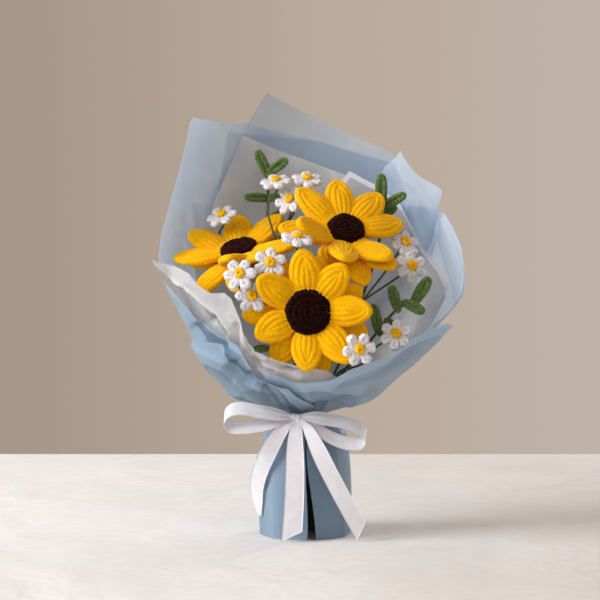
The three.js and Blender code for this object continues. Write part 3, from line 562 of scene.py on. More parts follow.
SHEETS = {
    "wrap_front_left": dict(layer=3, off=lambda p, z: 0 * z, waist=(178, 284), rim=[[186, 266], [192, 257], [199, 249], [209, 232], [213.8, 219], [225.4, 206], [236.5, 196], [239.5, 180], [242, 165], [249.4, 159.5], [258.7, 155], [265.7, 143.4], [277, 134]]),
    "wrap_front_right": dict(layer=2, off=lambda p, z: np.interp(p, [288, 312], [-3.4, 0]) + 0 * z, waist=(246, 350), rim=[[244, 170], [252, 165], [261, 157], [271, 157], [284.4, 158.7], [289.4, 162.5], [295.9, 171], [302.9, 177.6], [311.8, 183.9], [318.5, 191.2], [322, 201.8], [330, 210], [341, 218], [352, 216]], flares=[[350, 12, 9, 1.6]]),
    "wrap_right_outer": dict(layer=1, off=lambda p, z: np.interp(z, [190, 235], [-6.6, 0]), waist=(322, 385), rim=[[334, 210], [341, 219], [344, 232], [350, 247], [353, 268], [360, 297], [367.5, 324], [375, 331], [398, 335]]),
    "wrap_back_left": dict(layer=1, off=lambda p, z: lerp(np.interp(z, [262, 320], [-6.6, 0]), np.interp(z, [254, 268], [-6.6, 0]), smooth(140, 154, p)), waist=(40, 180), rim=[[40, 379], [82, 404], [122, 421], [174, 420], [181, 414]]),
    "wrap_back_top": dict(layer=2, off=lambda p, z: np.interp(z, [262, 320], [-3.3, 3.3]), waist=(40, 136), rim=[[34, 386], [82, 427], [113, 455], [124, 414], [131, 375], [138, 330]]),
    "wrap_right_upper": dict(layer=0, off=lambda p, z: np.interp(z, [262, 320], [-9.9, -3.4]), waist=(90, 126), rim=[[0, 344], [19, 389.4], [41, 376], [70, 335]], flares=[[0, 6, 9, 5]]),
    "tissue_back": dict(layer=-1, off=lambda p, z: np.interp(z, [262, 320], [-13.2, -6.8]), waist=(62, 150), rim=[[60, 335], [68, 368], [127, 409], [138, 330], [150, 262]]),
    "tissue_right": dict(layer=-2, off=lambda p, z: lerp(np.interp(z, [205, 240], [-7.8, -9.6]), np.interp(z, [262, 320], [-16.5, -10.2]), smooth(26, 40, p)), waist=(22, 84), rim=[[2, 236], [18, 258], [33, 293], [38, 336], [50, 357], [64, 372], [73, 357], [80, 330]]),
    "tissue_left": dict(layer=-3, off=lambda p, z: -7.0 + 0 * z, waist=(186, 298), rim=[[187, 262], [193, 277], [203, 269], [214.6, 262], [219.4, 250], [226.6, 243], [233.6, 244], [236.6, 238], [237.8, 214], [239.2, 196], [243, 188], [248, 183], [255, 177], [270, 168], [284, 163], [298, 150]], flares=[[282, 24, -6, 1.6], [193, 5, 18.3, 20]]),
}


def sheet_grid(s, step=2.6, rows=120, own=None, hems=()):
    """Fine grid of one sheet, and how far each point is up the sheet."""
    rim = np.array(s["rim"], float)
    cols = []
    for (p0, z0), (p1, z1) in zip(rim[:-1], rim[1:]):
        a, b = bowl(np.array(p0), np.array(z0)), bowl(np.array(p1), np.array(z1))
        n = max(3, int(np.linalg.norm(a - b) / step))
        cols.extend(np.linspace(p0, p1, n, endpoint=False))
    cols.append(rim[-1][0])
    cols = np.array(cols)
    zr = np.interp(cols, rim[:, 0], rim[:, 1])
    u = (cols - rim[0][0]) / (rim[-1][0] - rim[0][0])
    Z = np.zeros((len(cols), rows))
    f = np.linspace(0, 1, rows) ** 0.93
    for i, (p, top) in enumerate(zip(cols, zr)):
        z = np.linspace(113, top, 600)
        q = bowl(np.full(600, p), z)
        length = np.concatenate([[0], np.cumsum(np.linalg.norm(np.diff(q, axis=0), axis=1))])
        Z[i] = np.interp(f * length[-1], length, z)
    PR = cols[:, None] + 0 * Z
    ZR = zr[:, None] + 0 * Z
    h = np.clip((Z - 118) / (ZR - 118), 0, 1) ** 1.2
    phi = lerp(lerp(s["waist"][0], s["waist"][1], u[:, None]), PR, h)
    n = bowl_normal(phi, Z)
    off = lerp((s["layer"] - 3) * 1.1, s["off"](phi, Z), smooth(121, 144, Z))
    v = np.clip((Z - 125) / (ZR - 125), 0, 1)
    for c, w, a, k in s.get("flares", ()):
        off = off + a * np.exp(-(((phi - c) / w) ** 2)) * v**k
    off = off + pleats(phi % 360, Z)
    tone = 0 * Z
    if own is not None:
        o = own(phi, Z, v, PR, ZR)
        if isinstance(o, tuple):
            o, tone = o
        off = off + o
    P = bowl(phi, Z) + n * off[..., None]
    return P, n, v, tone


def sheet_piece(name, suffix, mat, own=None, flat=None, step=2.6, rows=120, hem=0.0, hem_span=None):
    P, n, v, tone = sheet_grid(SHEETS[name], step, rows, own)
    a = np.cumsum(np.concatenate([np.zeros((1, P.shape[1])), np.linalg.norm(np.diff(P, axis=0), axis=2)]), axis=0)
    b = np.cumsum(np.concatenate([np.zeros((P.shape[0], 1)), np.linalg.norm(np.diff(P, axis=1), axis=2)], axis=1), axis=1)
    B = Build()
    turned = 0 * a
    if hem:
        # the turned-over edge lies within this distance of the rim
        turned = smooth(hem + 1.5, hem - 1.5, b[:, -1:] - b)
        if hem_span:
            turned = turned * smooth(0, 4, a - hem_span[0]) * smooth(0, 4, hem_span[1] - a)
    B.add(P, grid_faces(*P.shape[:2]), None, np.clip(0.5 + tone, 0.02, 0.8), np.stack([b, a, turned], -1))
    ob = B.make(name + "_" + suffix, mat, name)
    size = sum(p.area for p in ob.data.polygons)
    w, l = flat or (float(a.max()) / 1000, float(b[:, -1].max()) / 1000)
    # the cut isn't a rectangle: its area is what is modelled, and a tenth more that the gathers take up
    area = min(w * l, 1.1 * size)
    if area < 0.31 * w * l:
        w = area / (0.31 * l)
    print("sheet", name, "area m2 %.4f" % size, "flat %.3f x %.3f area %.4f" % (w, l, area), P.shape)
    return ob


def soft(phi, z, seed, amp, wave):
    """Slow swell of a sheet."""
    r = np.random.default_rng(seed)
    out = 0 * phi + 0 * z
    for _ in range(5):
        k = r.uniform(0.6, 1.4) / wave
        th = r.uniform(0, np.pi)
        out = out + np.sin(2 * np.pi * k * ((phi * 1.9) * np.cos(th) + z * np.sin(th)) + r.uniform(0, 6.28))
    return amp * out / 5**0.5


def back_swell(phi, z):
    # one field for all the sheets behind, so that they never meet
    return soft(phi, z, 11, 1.6, 120) * smooth(200, 270, z)


def rolled(v, start, amount):
    return amount * smooth(start, 1.0, v) ** 2


def seen(phi, z):
    """Where a point of the bowl shows from the front: across and down, in mm at the tie's distance."""
    p = bowl(phi, z)
    k = 1600.0 / (1600.0 + p[..., 1])
    return (p[..., 0] + 5.5) * k, (237.2 - p[..., 2] + 27.9 * (1 - 1 / k)) * k


def crease(phi, z, line, width, depth, sharp=1.3, side=0.0):
    """A crease along a line seen from the front; side makes one flank higher than the other."""
    x, y = seen(phi, z)
    best = np.full(np.broadcast(x, y).shape, 1e9)
    sign = np.zeros_like(best)
    along = np.zeros_like(best)
    L = np.array(line, float)
    total = np.linalg.norm(np.diff(L, axis=0), axis=1).sum()
    run = 0.0
    for (x0, y0), (x1, y1) in zip(L[:-1], L[1:]):
        dx, dy = x1 - x0, y1 - y0
        n2 = dx * dx + dy * dy
        t = np.clip(((x - x0) * dx + (y - y0) * dy) / n2, 0, 1)
        ex, ey = x - x0 - t * dx, y - y0 - t * dy
        d = np.hypot(ex, ey)
        near = d < best
        best = np.where(near, d, best)
        sign = np.where(near, np.sign(dx * ey - dy * ex), sign)
        along = np.where(near, (run + t * n2**0.5) / total, along)
        run += n2**0.5
    taper = smooth(0, 0.18, along) * smooth(1, 0.82, along)
    w = width * (0.55 + 0.45 * taper)
    shape = np.exp(-((best / w) ** sharp))
    step = side * sign * np.clip(best / w, 0, 1) * np.exp(-((best / (2.2 * w)) ** 2))
    return (depth * shape + step) * np.clip(taper + 0.12, 0, 1)


def folded(phi, z, lines):
    """Shade beside folds: one flank of each line lies in shadow, the other catches light."""
    x, y = seen(phi, z)
    out = np.zeros(np.broadcast(x, y).shape)
    for line, below, above, reach, lip in lines:
        best = np.full(out.shape, 1e9)
        sign = np.zeros_like(out)
        along = np.zeros_like(out)
        L = np.array(line, float)
        total = np.linalg.norm(np.diff(L, axis=0), axis=1).sum()
        run = 0.0
        for (x0, y0), (x1, y1) in zip(L[:-1], L[1:]):
            dx, dy = x1 - x0, y1 - y0
            n2 = dx * dx + dy * dy
            t = np.clip(((x - x0) * dx + (y - y0) * dy) / n2, 0, 1)
            ex, ey = x - x0 - t * dx, y - y0 - t * dy
            d = np.hypot(ex, ey)
            near = d < best
            best = np.where(near, d, best)
            sign = np.where(near, dx * ey - dy * ex, sign)
            along = np.where(near, (run + t * n2**0.5) / total, along)
            run += n2**0.5
        ends = smooth(0, 0.12, along) * smooth(1, 0.88, along)
        side = np.where(sign > 0, below, above)
        far = np.where(side < 0, reach, lip)
        out = out + side * np.exp(-((best / far) ** 1.3)) * ends
    return out


def creased(phi, z, lines, deep=0.055):
    """Sum of creases, and the tone that goes with them: painted shade where they sink and painted light where they
    rise.
    """
    c = 0 * phi + 0 * z
    for line, width, depth, *more in lines:
        c = c + crease(phi, z, line, width, depth, *more)
    return c, np.clip(deep * c, -0.42, 0.16)


# Each crease: its line as seen from the front, its width, depth, keenness and step.
FRONT_LEFT_CREASES = [
    # the left edge hangs in two soft pockets with rounded lips
    ([[-106, 20], [-98, 34], [-86, 44], [-70, 48]], 8.0, -6.2, 2.2),
    ([[-112, 40], [-98, 52], [-82, 60], [-66, 68]], 3.4, 4.4, 1.4, 1.2),
    ([[-72, 60], [-64, 72], [-54, 78], [-44, 76]], 7.0, -6.2, 2.2),
    ([[-70, 80], [-58, 86], [-46, 88], [-34, 92]], 3.0, 3.6, 1.3, 1.0),
    ([[-120, 8], [-110, 26], [-98, 50]], 3.0, 3.0, 1.3),
    # long creases that run to the tie
    ([[-104, 62], [-84, 74], [-62, 84], [-40, 94], [-20, 108]], 3.0, -4.2, 1.3, -1.0),
    ([[-92, 82], [-70, 92], [-48, 100], [-24, 111]], 3.0, 3.4, 1.3, 1.2),
    ([[-62, 96], [-46, 104], [-26, 112]], 2.4, -3.6, 1.3),
    # the folded strip that crosses in front of the tie
    ([[-50, 68], [-38, 76], [-26, 82], [-14, 93], [-2, 106]], 4.4, 5.0, 1.8, -1.6),
    ([[-40, 84], [-28, 92], [-18, 104], [-14, 112]], 3.0, -5.6, 1.5),
]
FRONT_RIGHT_CREASES = [
    # the rim is turned down in a broad band, and creases fan out from the tie
    ([[14, 96], [44, 90], [74, 79], [102, 63], [122, 48]], 3.0, 1.4, 1.3, 1.4),
    ([[10, 103], [40, 101], [62, 96], [84, 86]], 3.4, -1.8, 1.4, -0.6),
    ([[2, 103], [16, 99], [40, 103], [60, 103]], 2.4, 2.6, 1.3, 0.8),
    ([[6, 111], [22, 107], [38, 107], [50, 109]], 2.4, -3.6, 1.4),
]
# line, shade below or left of it, shade above or right of it, how far the shade and the light reach
FRONT_LEFT_SHADE = [
    ([[-101, 42], [-82, 46], [-70, 65], [-56, 80], [-50, 75]], 0.24, -0.50, 9.0, 2.4),
    ([[-110, 22], [-96, 41], [-80, 47], [-74, 41]], 0.17, -0.34, 6.5, 2.4),
    ([[-56, 71], [-38, 78], [-22, 86]], -0.50, 0.20, 5.5, 2.2),
    ([[-23, 88], [-11, 101], [3, 113]], -0.44, 0.12, 5.0, 2.6),
    ([[-18, 83], [-2, 95], [14, 111]], 0.16, -0.50, 5.0, 2.8),
    ([[-66, 92], [-38, 92], [-16, 99], [-2, 111]], -0.20, 0.07, 12.0, 3.0),
    ([[-96, 62], [-78, 78], [-58, 90]], -0.18, 0.10, 8.0, 3.0),
]
FRONT_RIGHT_SHADE = [
    ([[6, 99], [30, 104], [58, 107]], 0.07, -0.34, 4.5, 2.4),
    ([[20, 103], [16, 108], [12, 113]], -0.38, 0.07, 2.6, 2.0),
    ([[38, 103], [28, 108], [20, 113]], -0.36, 0.07, 2.6, 2.0),
    ([[24, 88], [52, 84], [86, 68], [118, 40]], -0.10, 0.07, 9.0, 4.0),
    ([[4, 88], [20, 92], [40, 97], [62, 98]], -0.22, 0.06, 5.0, 3.0),
]


def front_left_folds(phi, z, v, pr, zr):
    w = smooth(188, 200, phi) * (1 - smooth(262, 276, phi))
    swell = 0.9 * np.sin(2 * np.pi * (pr - 191) / 24.0 + 2.2 * v) * smooth(0.3, 0.95, v)
    c, tone = creased(phi, z, FRONT_LEFT_CREASES, 0.034)
    c = 0.85 * c
    tone = tone + folded(phi, z, FRONT_LEFT_SHADE)
    return w * swell + c * smooth(186, 192, phi) + rolled(v, 0.9, 2.0) * (1 - smooth(236, 250, phi)), tone


def front_right_folds(phi, z, v, pr, zr):
    w = smooth(290, 312, phi)
    c, tone = creased(phi, z, FRONT_RIGHT_CREASES, 0.04)
    tone = tone + folded(phi, z, FRONT_RIGHT_SHADE)
    return w * 0.5 * np.sin(2 * np.pi * (pr - 300) / 33.0 + 1.4 * v) * smooth(0.3, 1, v) + c + rolled(v, 0.92, 1.5) * w, tone


def right_outer_folds(phi, z, v, pr, zr):
    tone = folded(phi, z, [([[96, -72], [118, -40], [134, 6], [136, 40]], 0.09, -0.06, 9.0, 6.0), ([[118, -92], [140, -50], [153, -6], [156, 40]], 0.06, -0.12, 6.0, 6.0), ([[102, 60], [118, 36], [134, 12]], -0.12, 0.06, 8.0, 5.0)])
    return 2.6 * np.exp(-np.abs((phi - 356 - 0.05 * (z - 250)) / 2.6) ** 1.3) * smooth(200, 240, z) - 2.0 * np.exp(-np.abs((phi - 371) / 3.4) ** 1.4) * smooth(215, 260, z) + 1.5 * np.sin(2 * np.pi * (pr - 340) / 26.0 + 1.8 * v) * smooth(0.45, 0.9, v) * smooth(226, 250, z) + rolled(v, 0.9, 1.5), tone


def behind(seed, roll=1.2):
    def f(phi, z, v, pr, zr):
        return back_swell(phi, z) + soft(phi, z, seed, 0.25, 46) * smooth(0.4, 0.8, v) + rolled(v, 0.92, roll)

    return f


def tissue_creases(seed, big, small, swell=True):
    def f(phi, z, v, pr, zr):
        a, b = phi * 1.9, z
        grow = smooth(0.15, 0.5, v)
        return (back_swell(phi, z) if swell else 0) + grow * (crumple(a, b, [(46, big, 3), (19, small, 4)], seed))

    return f


LEFT_TISSUE_CREASES = [
    # two soft pockets with rolled lips, a fold down beside the flowers, crumples below them
    ([[-132, -14], [-118, 4], [-102, 18], [-92, 30]], 6.5, -5.0, 2.0),
    ([[-98, 18], [-88, 30], [-78, 42]], 6.0, -5.4, 2.0),
    ([[-140, -26], [-120, -8], [-102, 6], [-86, 16], [-76, 30], [-70, 48]], 2.4, 3.4, 1.2, 1.0),
    ([[-58, 16], [-59, 44], [-60, 62], [-54, 70], [-38, 76]], 2.2, 3.6, 1.2, 1.4),
    ([[-68, 22], [-69, 46], [-70, 62]], 4.0, -4.4, 1.6),
    ([[-54, 60], [-40, 71], [-24, 77]], 2.6, -4.0, 1.3),
    ([[-46, 66], [-30, 72], [-10, 79], [8, 84]], 2.4, 3.2, 1.2, 1.4),
    ([[-24, 71], [-8, 77], [8, 75], [20, 66]], 2.6, -4.0, 1.3),
    ([[-50, 50], [-44, 60], [-34, 64]], 2.2, 2.4, 1.2),
]


LEFT_TISSUE_SHADE = [
    ([[-122, -6], [-106, 14], [-92, 30], [-86, 22]], 0.10, -0.16, 6.0, 3.0),
    ([[-100, 16], [-88, 34], [-76, 44], [-72, 34]], 0.10, -0.18, 6.0, 3.0),
    ([[-59, 26], [-60, 46], [-60, 64]], -0.15, 0.10, 6.0, 3.0),
    ([[-60, 66], [-44, 72], [-20, 80], [6, 86]], 0.12, -0.16, 4.0, 3.0),
    ([[-34, 62], [-20, 68], [-4, 76]], -0.14, 0.10, 4.0, 2.4),
]


def left_tissue(phi, z, v, pr, zr):
    a, b = phi * 1.9, z
    grow = smooth(0.2, 0.7, v)
    body = crumple(a, b, [(34, 0.8, 3), (14, 0.22, 3)], 33)
    c, tone = creased(phi, z, LEFT_TISSUE_CREASES, 0.035)
    # painted light on the lower part of the sheet and painted shade near its top edge
    tone = tone + folded(phi, z, LEFT_TISSUE_SHADE) + 0.30 * smooth(0.82, 0.5, v) - 0.11 * smooth(0.76, 0.94, v)
    # it lies flat where the blue sheet covers it
    blue = np.array(SHEETS["wrap_front_left"]["rim"], float)
    clear = smooth(-14, 3, z - np.interp(phi, blue[:, 0], blue[:, 1]))
    return grow * body + np.where(c > 0, c * clear, c) - 3.0 * (1 - clear) * smooth(0.1, 0.3, v), tone


# a second edge and a bent-in corner of the sheet behind on the left
BACK_LEFT_CREASES = [
    ([[-58, -134], [-78, -106], [-92, -74], [-100, -40]], 3.2, -2.2, 1.2, -2.0),
    ([[-134, -62], [-124, -66], [-112, -58], [-106, -34], [-104, 0]], 2.6, 2.2, 1.2, 1.6),
    ([[-112, -96], [-118, -50], [-122, -10]], 5.0, -2.0, 1.6),
]


def back_left_folds(phi, z, v, pr, zr):
    c, tone = creased(phi, z, BACK_LEFT_CREASES, 0.03)
    x, y = seen(phi, z)
    # painted shade: a darker band beside the sheet's second edge and a darker patch in its bent-in corner
    layer = smooth(-0.7, 0.7, x + 73.5 + (y + 159) * 0.18) * smooth(-161.5, -159.5, y - 0.1 * x) * smooth(-62, -95, y)
    pocket = smooth(-0.8, 0.8, x + 107 - (y + 96) * 0.08) * smooth(-97, -95, y) * smooth(-85, -105, x) * smooth(-30, -70, y)
    tone = tone - 0.22 * layer - 0.17 * pocket
    return behind(22)(phi, z, v, pr, zr) + c * smooth(0.98, 0.9, v), tone


sheet_piece("wrap_back_top", "film", BLUE_TOP_PAINTED_SHADE, behind(21))
sheet_piece("wrap_back_left", "film", BLUE, back_left_folds, step=2.0, rows=170)
RIGHT_UPPER_SHADE = [
    ([[143, -112], [142, -86], [137, -62], [129, -44], [119, -26]], -0.30, 0.14, 6.0, 3.0),
    ([[112, -104], [108, -84], [110, -60], [116, -40]], 0.08, -0.12, 8.0, 4.0),
    ([[96, -140], [104, -122], [122, -112]], -0.10, 0.08, 6.0, 3.0),
]


def right_upper_folds(phi, z, v, pr, zr):
    return behind(23)(phi, z, v, pr, zr), folded(phi, z, RIGHT_UPPER_SHADE)


sheet_piece("wrap_right_upper", "film", BLUE_RIGHT_PAINTED_LIGHT, right_upper_folds, step=1.8, rows=190)
sheet_piece("wrap_right_outer", "film", BLUE_RIGHT_PAINTED_LIGHT, right_outer_folds)
sheet_piece("wrap_front_right", "film", BLUE_FRONT_RIGHT_PAINTED_SHADE, front_right_folds, step=1.5, rows=200, hem=15)
sheet_piece("wrap_front_left", "film", BLUE_FRONT_PAINTED_SHADE, front_left_folds, step=1.4, rows=220, hem=11)
sheet_piece("tissue_back", "paper", TISSUE, tissue_creases(31, 0.6, 0.32), step=2.0, rows=150)
sheet_piece("tissue_right", "paper", TISSUE_RIGHT_PAINTED_SHADE, tissue_creases(32, 0.55, 0.28), step=1.6, rows=190, hem=7)
sheet_piece("tissue_left", "paper", TISSUE_LEFT_PAINTED_LIGHT, left_tissue, step=1.3, rows=200)

# ------------------------------------------------------------------ skirt
SKIRT = pchip([[FLOOR, 45.5], [25, 46], [60, 44.8], [88, 42.6], [99, 41.2], [106, 40], [110.5, 37.4], [112.6, 32], [114, 25.5], [114.9, 22.3], [115.6, 21.05], [120.6, 21]])
SLIT_Z, SLIT_AT = 92, 277.3


def skirt():
    n = 420
    z = np.concatenate([np.linspace(FLOOR, 84, 46, endpoint=False), np.linspace(84, 102, 18, endpoint=False), np.linspace(102, 116, 34, endpoint=False), np.linspace(116, 120.6, 5)])
    u = np.linspace(0, 1, n)[:, None]
    Z = z[None] + 0 * u
    opening = 1 - smooth(FLOOR, SLIT_Z + 4, Z)
    mid = lerp(270, SLIT_AT, opening)
    half = np.maximum(0.9, 5.4 * (1 - (Z - FLOOR) / (SLIT_Z - FLOOR)))
    phi = mid + half + u * (360 - 2 * half)
    panel = ((u * 8) % 1.0 - 0.5) * 45.0
    flat_side = np.cos(rad(22.5)) / np.cos(rad(panel))
    keen = 1 - smooth(80, 113, Z)
    R = SKIRT(Z) * lerp(1.0, 1 + 0.42 * (flat_side * 1.03 - 1), keen) + 0.25 * np.sin(rad(phi * 5 + Z * 1.3)) * keen
    gather = smooth(84, 101, Z) * (1 - smooth(109, 115, Z))
    r = np.random.default_rng(7)
    g = 0 * phi
    for k in range(24):
        c = r.uniform(0, 360)
        w = r.uniform(2.0, 5.5)
        d = (phi - c + 180) % 360 - 180
        g = g + r.uniform(0.4, 1.2) * np.exp(-np.abs(d / w) ** 1.4)
    R = R + (g - 0.5) * gather + 0.35 * np.sin(rad(phi * 23)) * (1 - smooth(60, 100, Z)) * 0.3
    c, s = np.cos(rad(phi)), np.sin(rad(phi))
    P = np.stack([R * c, R * s, Z], -1)
    N = unit(np.stack([c, s, 0 * c], -1))
    a = np.cumsum(np.concatenate([np.zeros((1, P.shape[1])), np.linalg.norm(np.diff(P, axis=0), axis=2)]), axis=0)
    B = Build()
    two_sided(B, P, N, 0.3, np.stack([Z, a, 0 * a], -1))
    # painted shade on the lapped panel right of the slit, a painted highlight down the left panel, painted shade at the
    # panel edges and in the gathers, and a slow paler and darker variation round the lower skirt
    edge = np.abs(panel) / 22.5
    shade = -0.16 * smooth(0.24, 0.12, u) + 0.10 * smooth(0.80, 0.86, u) * smooth(0.90, 0.875, u) - 0.02 * smooth(0.85, 1.0, edge)
    shade = shade + 0.05 * np.sin(rad(phi * 7 + 40)) * keen - 0.16 * gather * np.clip(g - 0.4, 0, 1)
    B.tuft = [np.tile(np.clip(0.5 + shade, 0.05, 0.75).ravel(), 2)]
    ob = B.make("paper_skirt_film", BLUE_SKIRT_PAINTED_SHADE, "paper_skirt")
    return ob


skirt()

# ------------------------------------------------------------------ ribbon
RIBBON_W = 17.6


def ribbon_strip(L, R, n, t=0.34, across=14, ripple=0.0, seed=0, pinch=0.0, both=False):
    """Closed thin strip between two edge lines, with gathers where it is pinched."""
    a, b = catmull(L, 40), catmull(R, 40)
    k = np.linspace(0, 1, n)
    idx = np.linspace(0, 1, len(a))
    A = np.stack([np.interp(k, idx, a[:, j]) for j in range(3)], 1)
    C = np.stack([np.interp(k, np.linspace(0, 1, len(b)), b[:, j]) for j in range(3)], 1)
    w = np.linspace(0, 1, across)
    P = A[:, None] * (1 - w)[None, :, None] + C[:, None] * w[None, :, None]
    N = normals_of(P)
    r = np.random.default_rng(seed)
    rip = sum(r.uniform(0.5, 1) * np.sin(2 * np.pi * (w * r.uniform(1.5, 3.5) + r.uniform())) for _ in range(3))
    ends = np.exp(-k / 0.12) + (np.exp(-(1 - k) / 0.12) if both else 0)
    P = P + N * (ripple * rip[None, :] * ends[:, None])[..., None]
    N = normals_of(P)
    s = np.concatenate([[0], np.cumsum(np.linalg.norm(np.diff(P[:, across // 2], axis=0), axis=1))])
    G = np.zeros(P.shape)
    G[..., 0] = s[:, None]
    G[..., 1] = w[None, :] * RIBBON_W
    G[..., 2] = 2 * w[None, :] - 1
    return P, N, t, G, s[-1]


def loop_edges(centre, w):
    """Edge lines of a loop: it is gathered to less than half its width at the knot."""
    C = np.array(centre, float)
    run = np.concatenate([[0], np.cumsum(np.linalg.norm(np.diff(C, axis=0), axis=1))])
    out = []
    for q in (1, -1):
        out.append([[c + q * w[k] * (RIBBON_W / 2) * float(smooth(-16, 22, min(d, run[-1] - d))) for k, c in enumerate(p)] for d, p in zip(run, centre)])
    return out


LOOP_LEFT = [[-13.5, -33.0, 123.0], [-23, -36.5, 124.8], [-34, -39, 127.0], [-48, -41, 129.6], [-63, -42, 132.2], [-74, -42.5, 130.0], [-79.4, -43, 122.4], [-75, -43.5, 115.2], [-63, -43, 113.6], [-48, -41, 114.8], [-34, -38.5, 117.6], [-23, -36, 120.0], [-13.5, -34.0, 121.6]]
LOOP_RIGHT = [[-5.0, -33.0, 123.0], [4, -36, 123.2], [13, -38.5, 122.4], [24, -40, 120.8], [42, -41.5, 117.4], [53.5, -42.5, 112.2], [58.8, -43.5, 104.4], [54.5, -45, 98.6], [43, -45, 98.0], [33, -44, 100.4], [24, -43, 104.2], [15, -41.5, 109.8], [6, -39, 115.8], [-5.0, -34.5, 121.4]]
TAIL_LEFT = [
    [[-16.0, -35.0, 121.0], [-28.5, -41.5, 113.8], [-41.5, -42.5, 97], [-49, -30, 80], [-54, -18, 60], [-54, -12, 46], [-47.5, -16.5, 24]],
    [[-10.0, -35.0, 120.0], [-15.3, -41.2, 112.6], [-25.0, -42.5, 94], [-37.6, -32, 66], [-41.7, -24.0, 50], [-42.4, -21.5, 38], [-43.8, -18, 24]],
]
TAIL_MIDDLE = [
    [[-11.4, -35, 120.2], [-15.6, -41.5, 111], [-18.4, -47, 96], [-19.6, -51.5, 70], [-20.8, -54, 40], [-23.5, -57, 4.4]],
    [[-6.2, -35, 120.2], [-3.6, -41.5, 111], [-2.4, -47, 97], [-1.5, -51.5, 80], [-1.5, -54.5, 48], [-3.3, -57, 14]],
]
TAIL_RIGHT = [
    [[-6.8, -35.5, 119.8], [-2.2, -44.5, 110], [6.5, -51.5, 86], [24.5, -53.6, 50], [49.5, -54, 4.6]],
    [[-2.8, -35.5, 121.0], [6.8, -46, 114], [17.5, -52.5, 98.5], [34, -54, 67], [58, -52, 22]],
]


def ribbon(name, L, R, n, seed, ripple, both, length=None):
    P, N, t, G, s = ribbon_strip(L, R, n, ripple=ripple, seed=seed, both=both)
    B = Build()
    two_sided(B, P, N, t, G)
    ob = B.make(name + "_satin", SATIN, name)
    print("ribbon", name, "length %.0f" % s)
    return ob


ribbon("ribbon_loop_left", *loop_edges(LOOP_LEFT, [0, 0.76, 0.65]), 190, 1, 0.8, True)
ribbon("ribbon_loop_right", *loop_edges(LOOP_RIGHT, [0.1, 0.76, 0.64]), 190, 2, 0.8, True)
ribbon("ribbon_tail_left", *TAIL_LEFT, 110, 3, 0.45, False)
ribbon("ribbon_tail_middle", *TAIL_MIDDLE, 110, 4, 0.45, False)
ribbon("ribbon_tail_right", *TAIL_RIGHT, 120, 5, 0.45, False)


def band_and_knot():
    B = Build()
    # the ribbon is folded in three where it goes round the waist
    n = 220
    fold = [[22.0, 115.9], [21.98, 119.2], [22.0, 121.8], [22.2, 122.25], [22.4, 121.8], [22.42, 119.2], [22.4, 116.2], [22.6, 115.65], [22.8, 116.2], [22.84, 119.2], [22.8, 121.9]]
    sec = resample(catmull([[r_, 0, z_] for r_, z_ in fold], 16), 0.32)
    th = np.linspace(0, 2 * np.pi, n)
    swell = 0.10 * np.sin(5 * th) + 0.06 * np.sin(11 * th + 1)
    R = sec[None, :, 0] + swell[:, None]
    P = np.stack([R * np.cos(th)[:, None], R * np.sin(th)[:, None], sec[None, :, 2] + 0.25 * np.sin(3 * th)[:, None]], -1)
    g = np.zeros(P.shape)
    g[..., 0] = (th * 22)[:, None]
    g[..., 1] = (np.arange(len(sec)) * 0.32)[None]
    two_sided(B, P, normals_of(P), 0.2, g)
    # the knot: a turn of ribbon drawn over the gathered loops and tails
    c = np.array([-9.2, -31.4, 122.0])
    nu, nv = 96, 48
    u = np.linspace(0, 2 * np.pi, nu, endpoint=False)[:, None]
    w = np.linspace(-1, 1, nv)[None]
    body = np.sqrt(np.clip(1 - np.abs(w) ** 3.2, 0.02, 1))
    waist = 1 - 0.16 * np.cos(np.pi * w)
    pleat = 1 + 0.05 * np.sin(7 * w * (1 + 0.2 * np.sin(u)) + 0.7) + 0.035 * np.sin(13 * w + 1.2 * np.sin(2 * u))
    x = 4.7 * w + 0 * u
    y = 5.0 * body * waist * pleat * np.cos(u)
    zz = 4.3 * body * waist * pleat * np.sin(u)
    a = math.radians(-7)
    V = np.stack([x * math.cos(a) - zz * math.sin(a), y, x * math.sin(a) + zz * math.cos(a)], -1) + c
    g = np.stack([np.broadcast_to(u * 6, V.shape[:2]), np.broadcast_to(w * 7, V.shape[:2]), 0 * V[..., 0]], -1)
    q = grid_faces(nu, nv, True, False)
    ends = np.array([[-4.8, 0, 0], [4.8, 0, 0]]) + c
    i = np.arange(nu)
    i2 = (i + 1) % nu
    t = np.vstack([np.stack([np.full(nu, nu * nv), i2 * nv, i * nv], 1), np.stack([np.full(nu, nu * nv + 1), i * nv + nv - 1, i2 * nv + nv - 1], 1)])
    B.add(np.vstack([V.reshape(-1, 3), ends]), q, t, None, np.vstack([g.reshape(-1, 3), g[0, :1], g[0, -1:]]))
    return B.make("ribbon_band_knot_satin", SATIN, "ribbon_band_knot")


band = band_and_knot()

# tape round the stems
B = Build()
th = np.linspace(0, 2 * np.pi, 96, endpoint=False)
zz = np.linspace(112, 124, 30)
ro = 11.75 + 0.3 * (((zz[None] - 112) / 4 + th[:, None] / (2 * np.pi)) % 1.0)
outer = np.stack([ro * np.cos(th)[:, None], ro * np.sin(th)[:, None], zz[None] + 0 * ro], -1)
inner = np.stack([(0 * ro + 11.35) * np.cos(th)[:, None], (0 * ro + 11.35) * np.sin(th)[:, None], zz[None] + 0 * ro], -1)[:, ::-1]
B.add(np.concatenate([outer, inner], 1), grid_faces(96, 60, True, True))
B.make("stem_tape_wound", TAPE, "stem_tape")


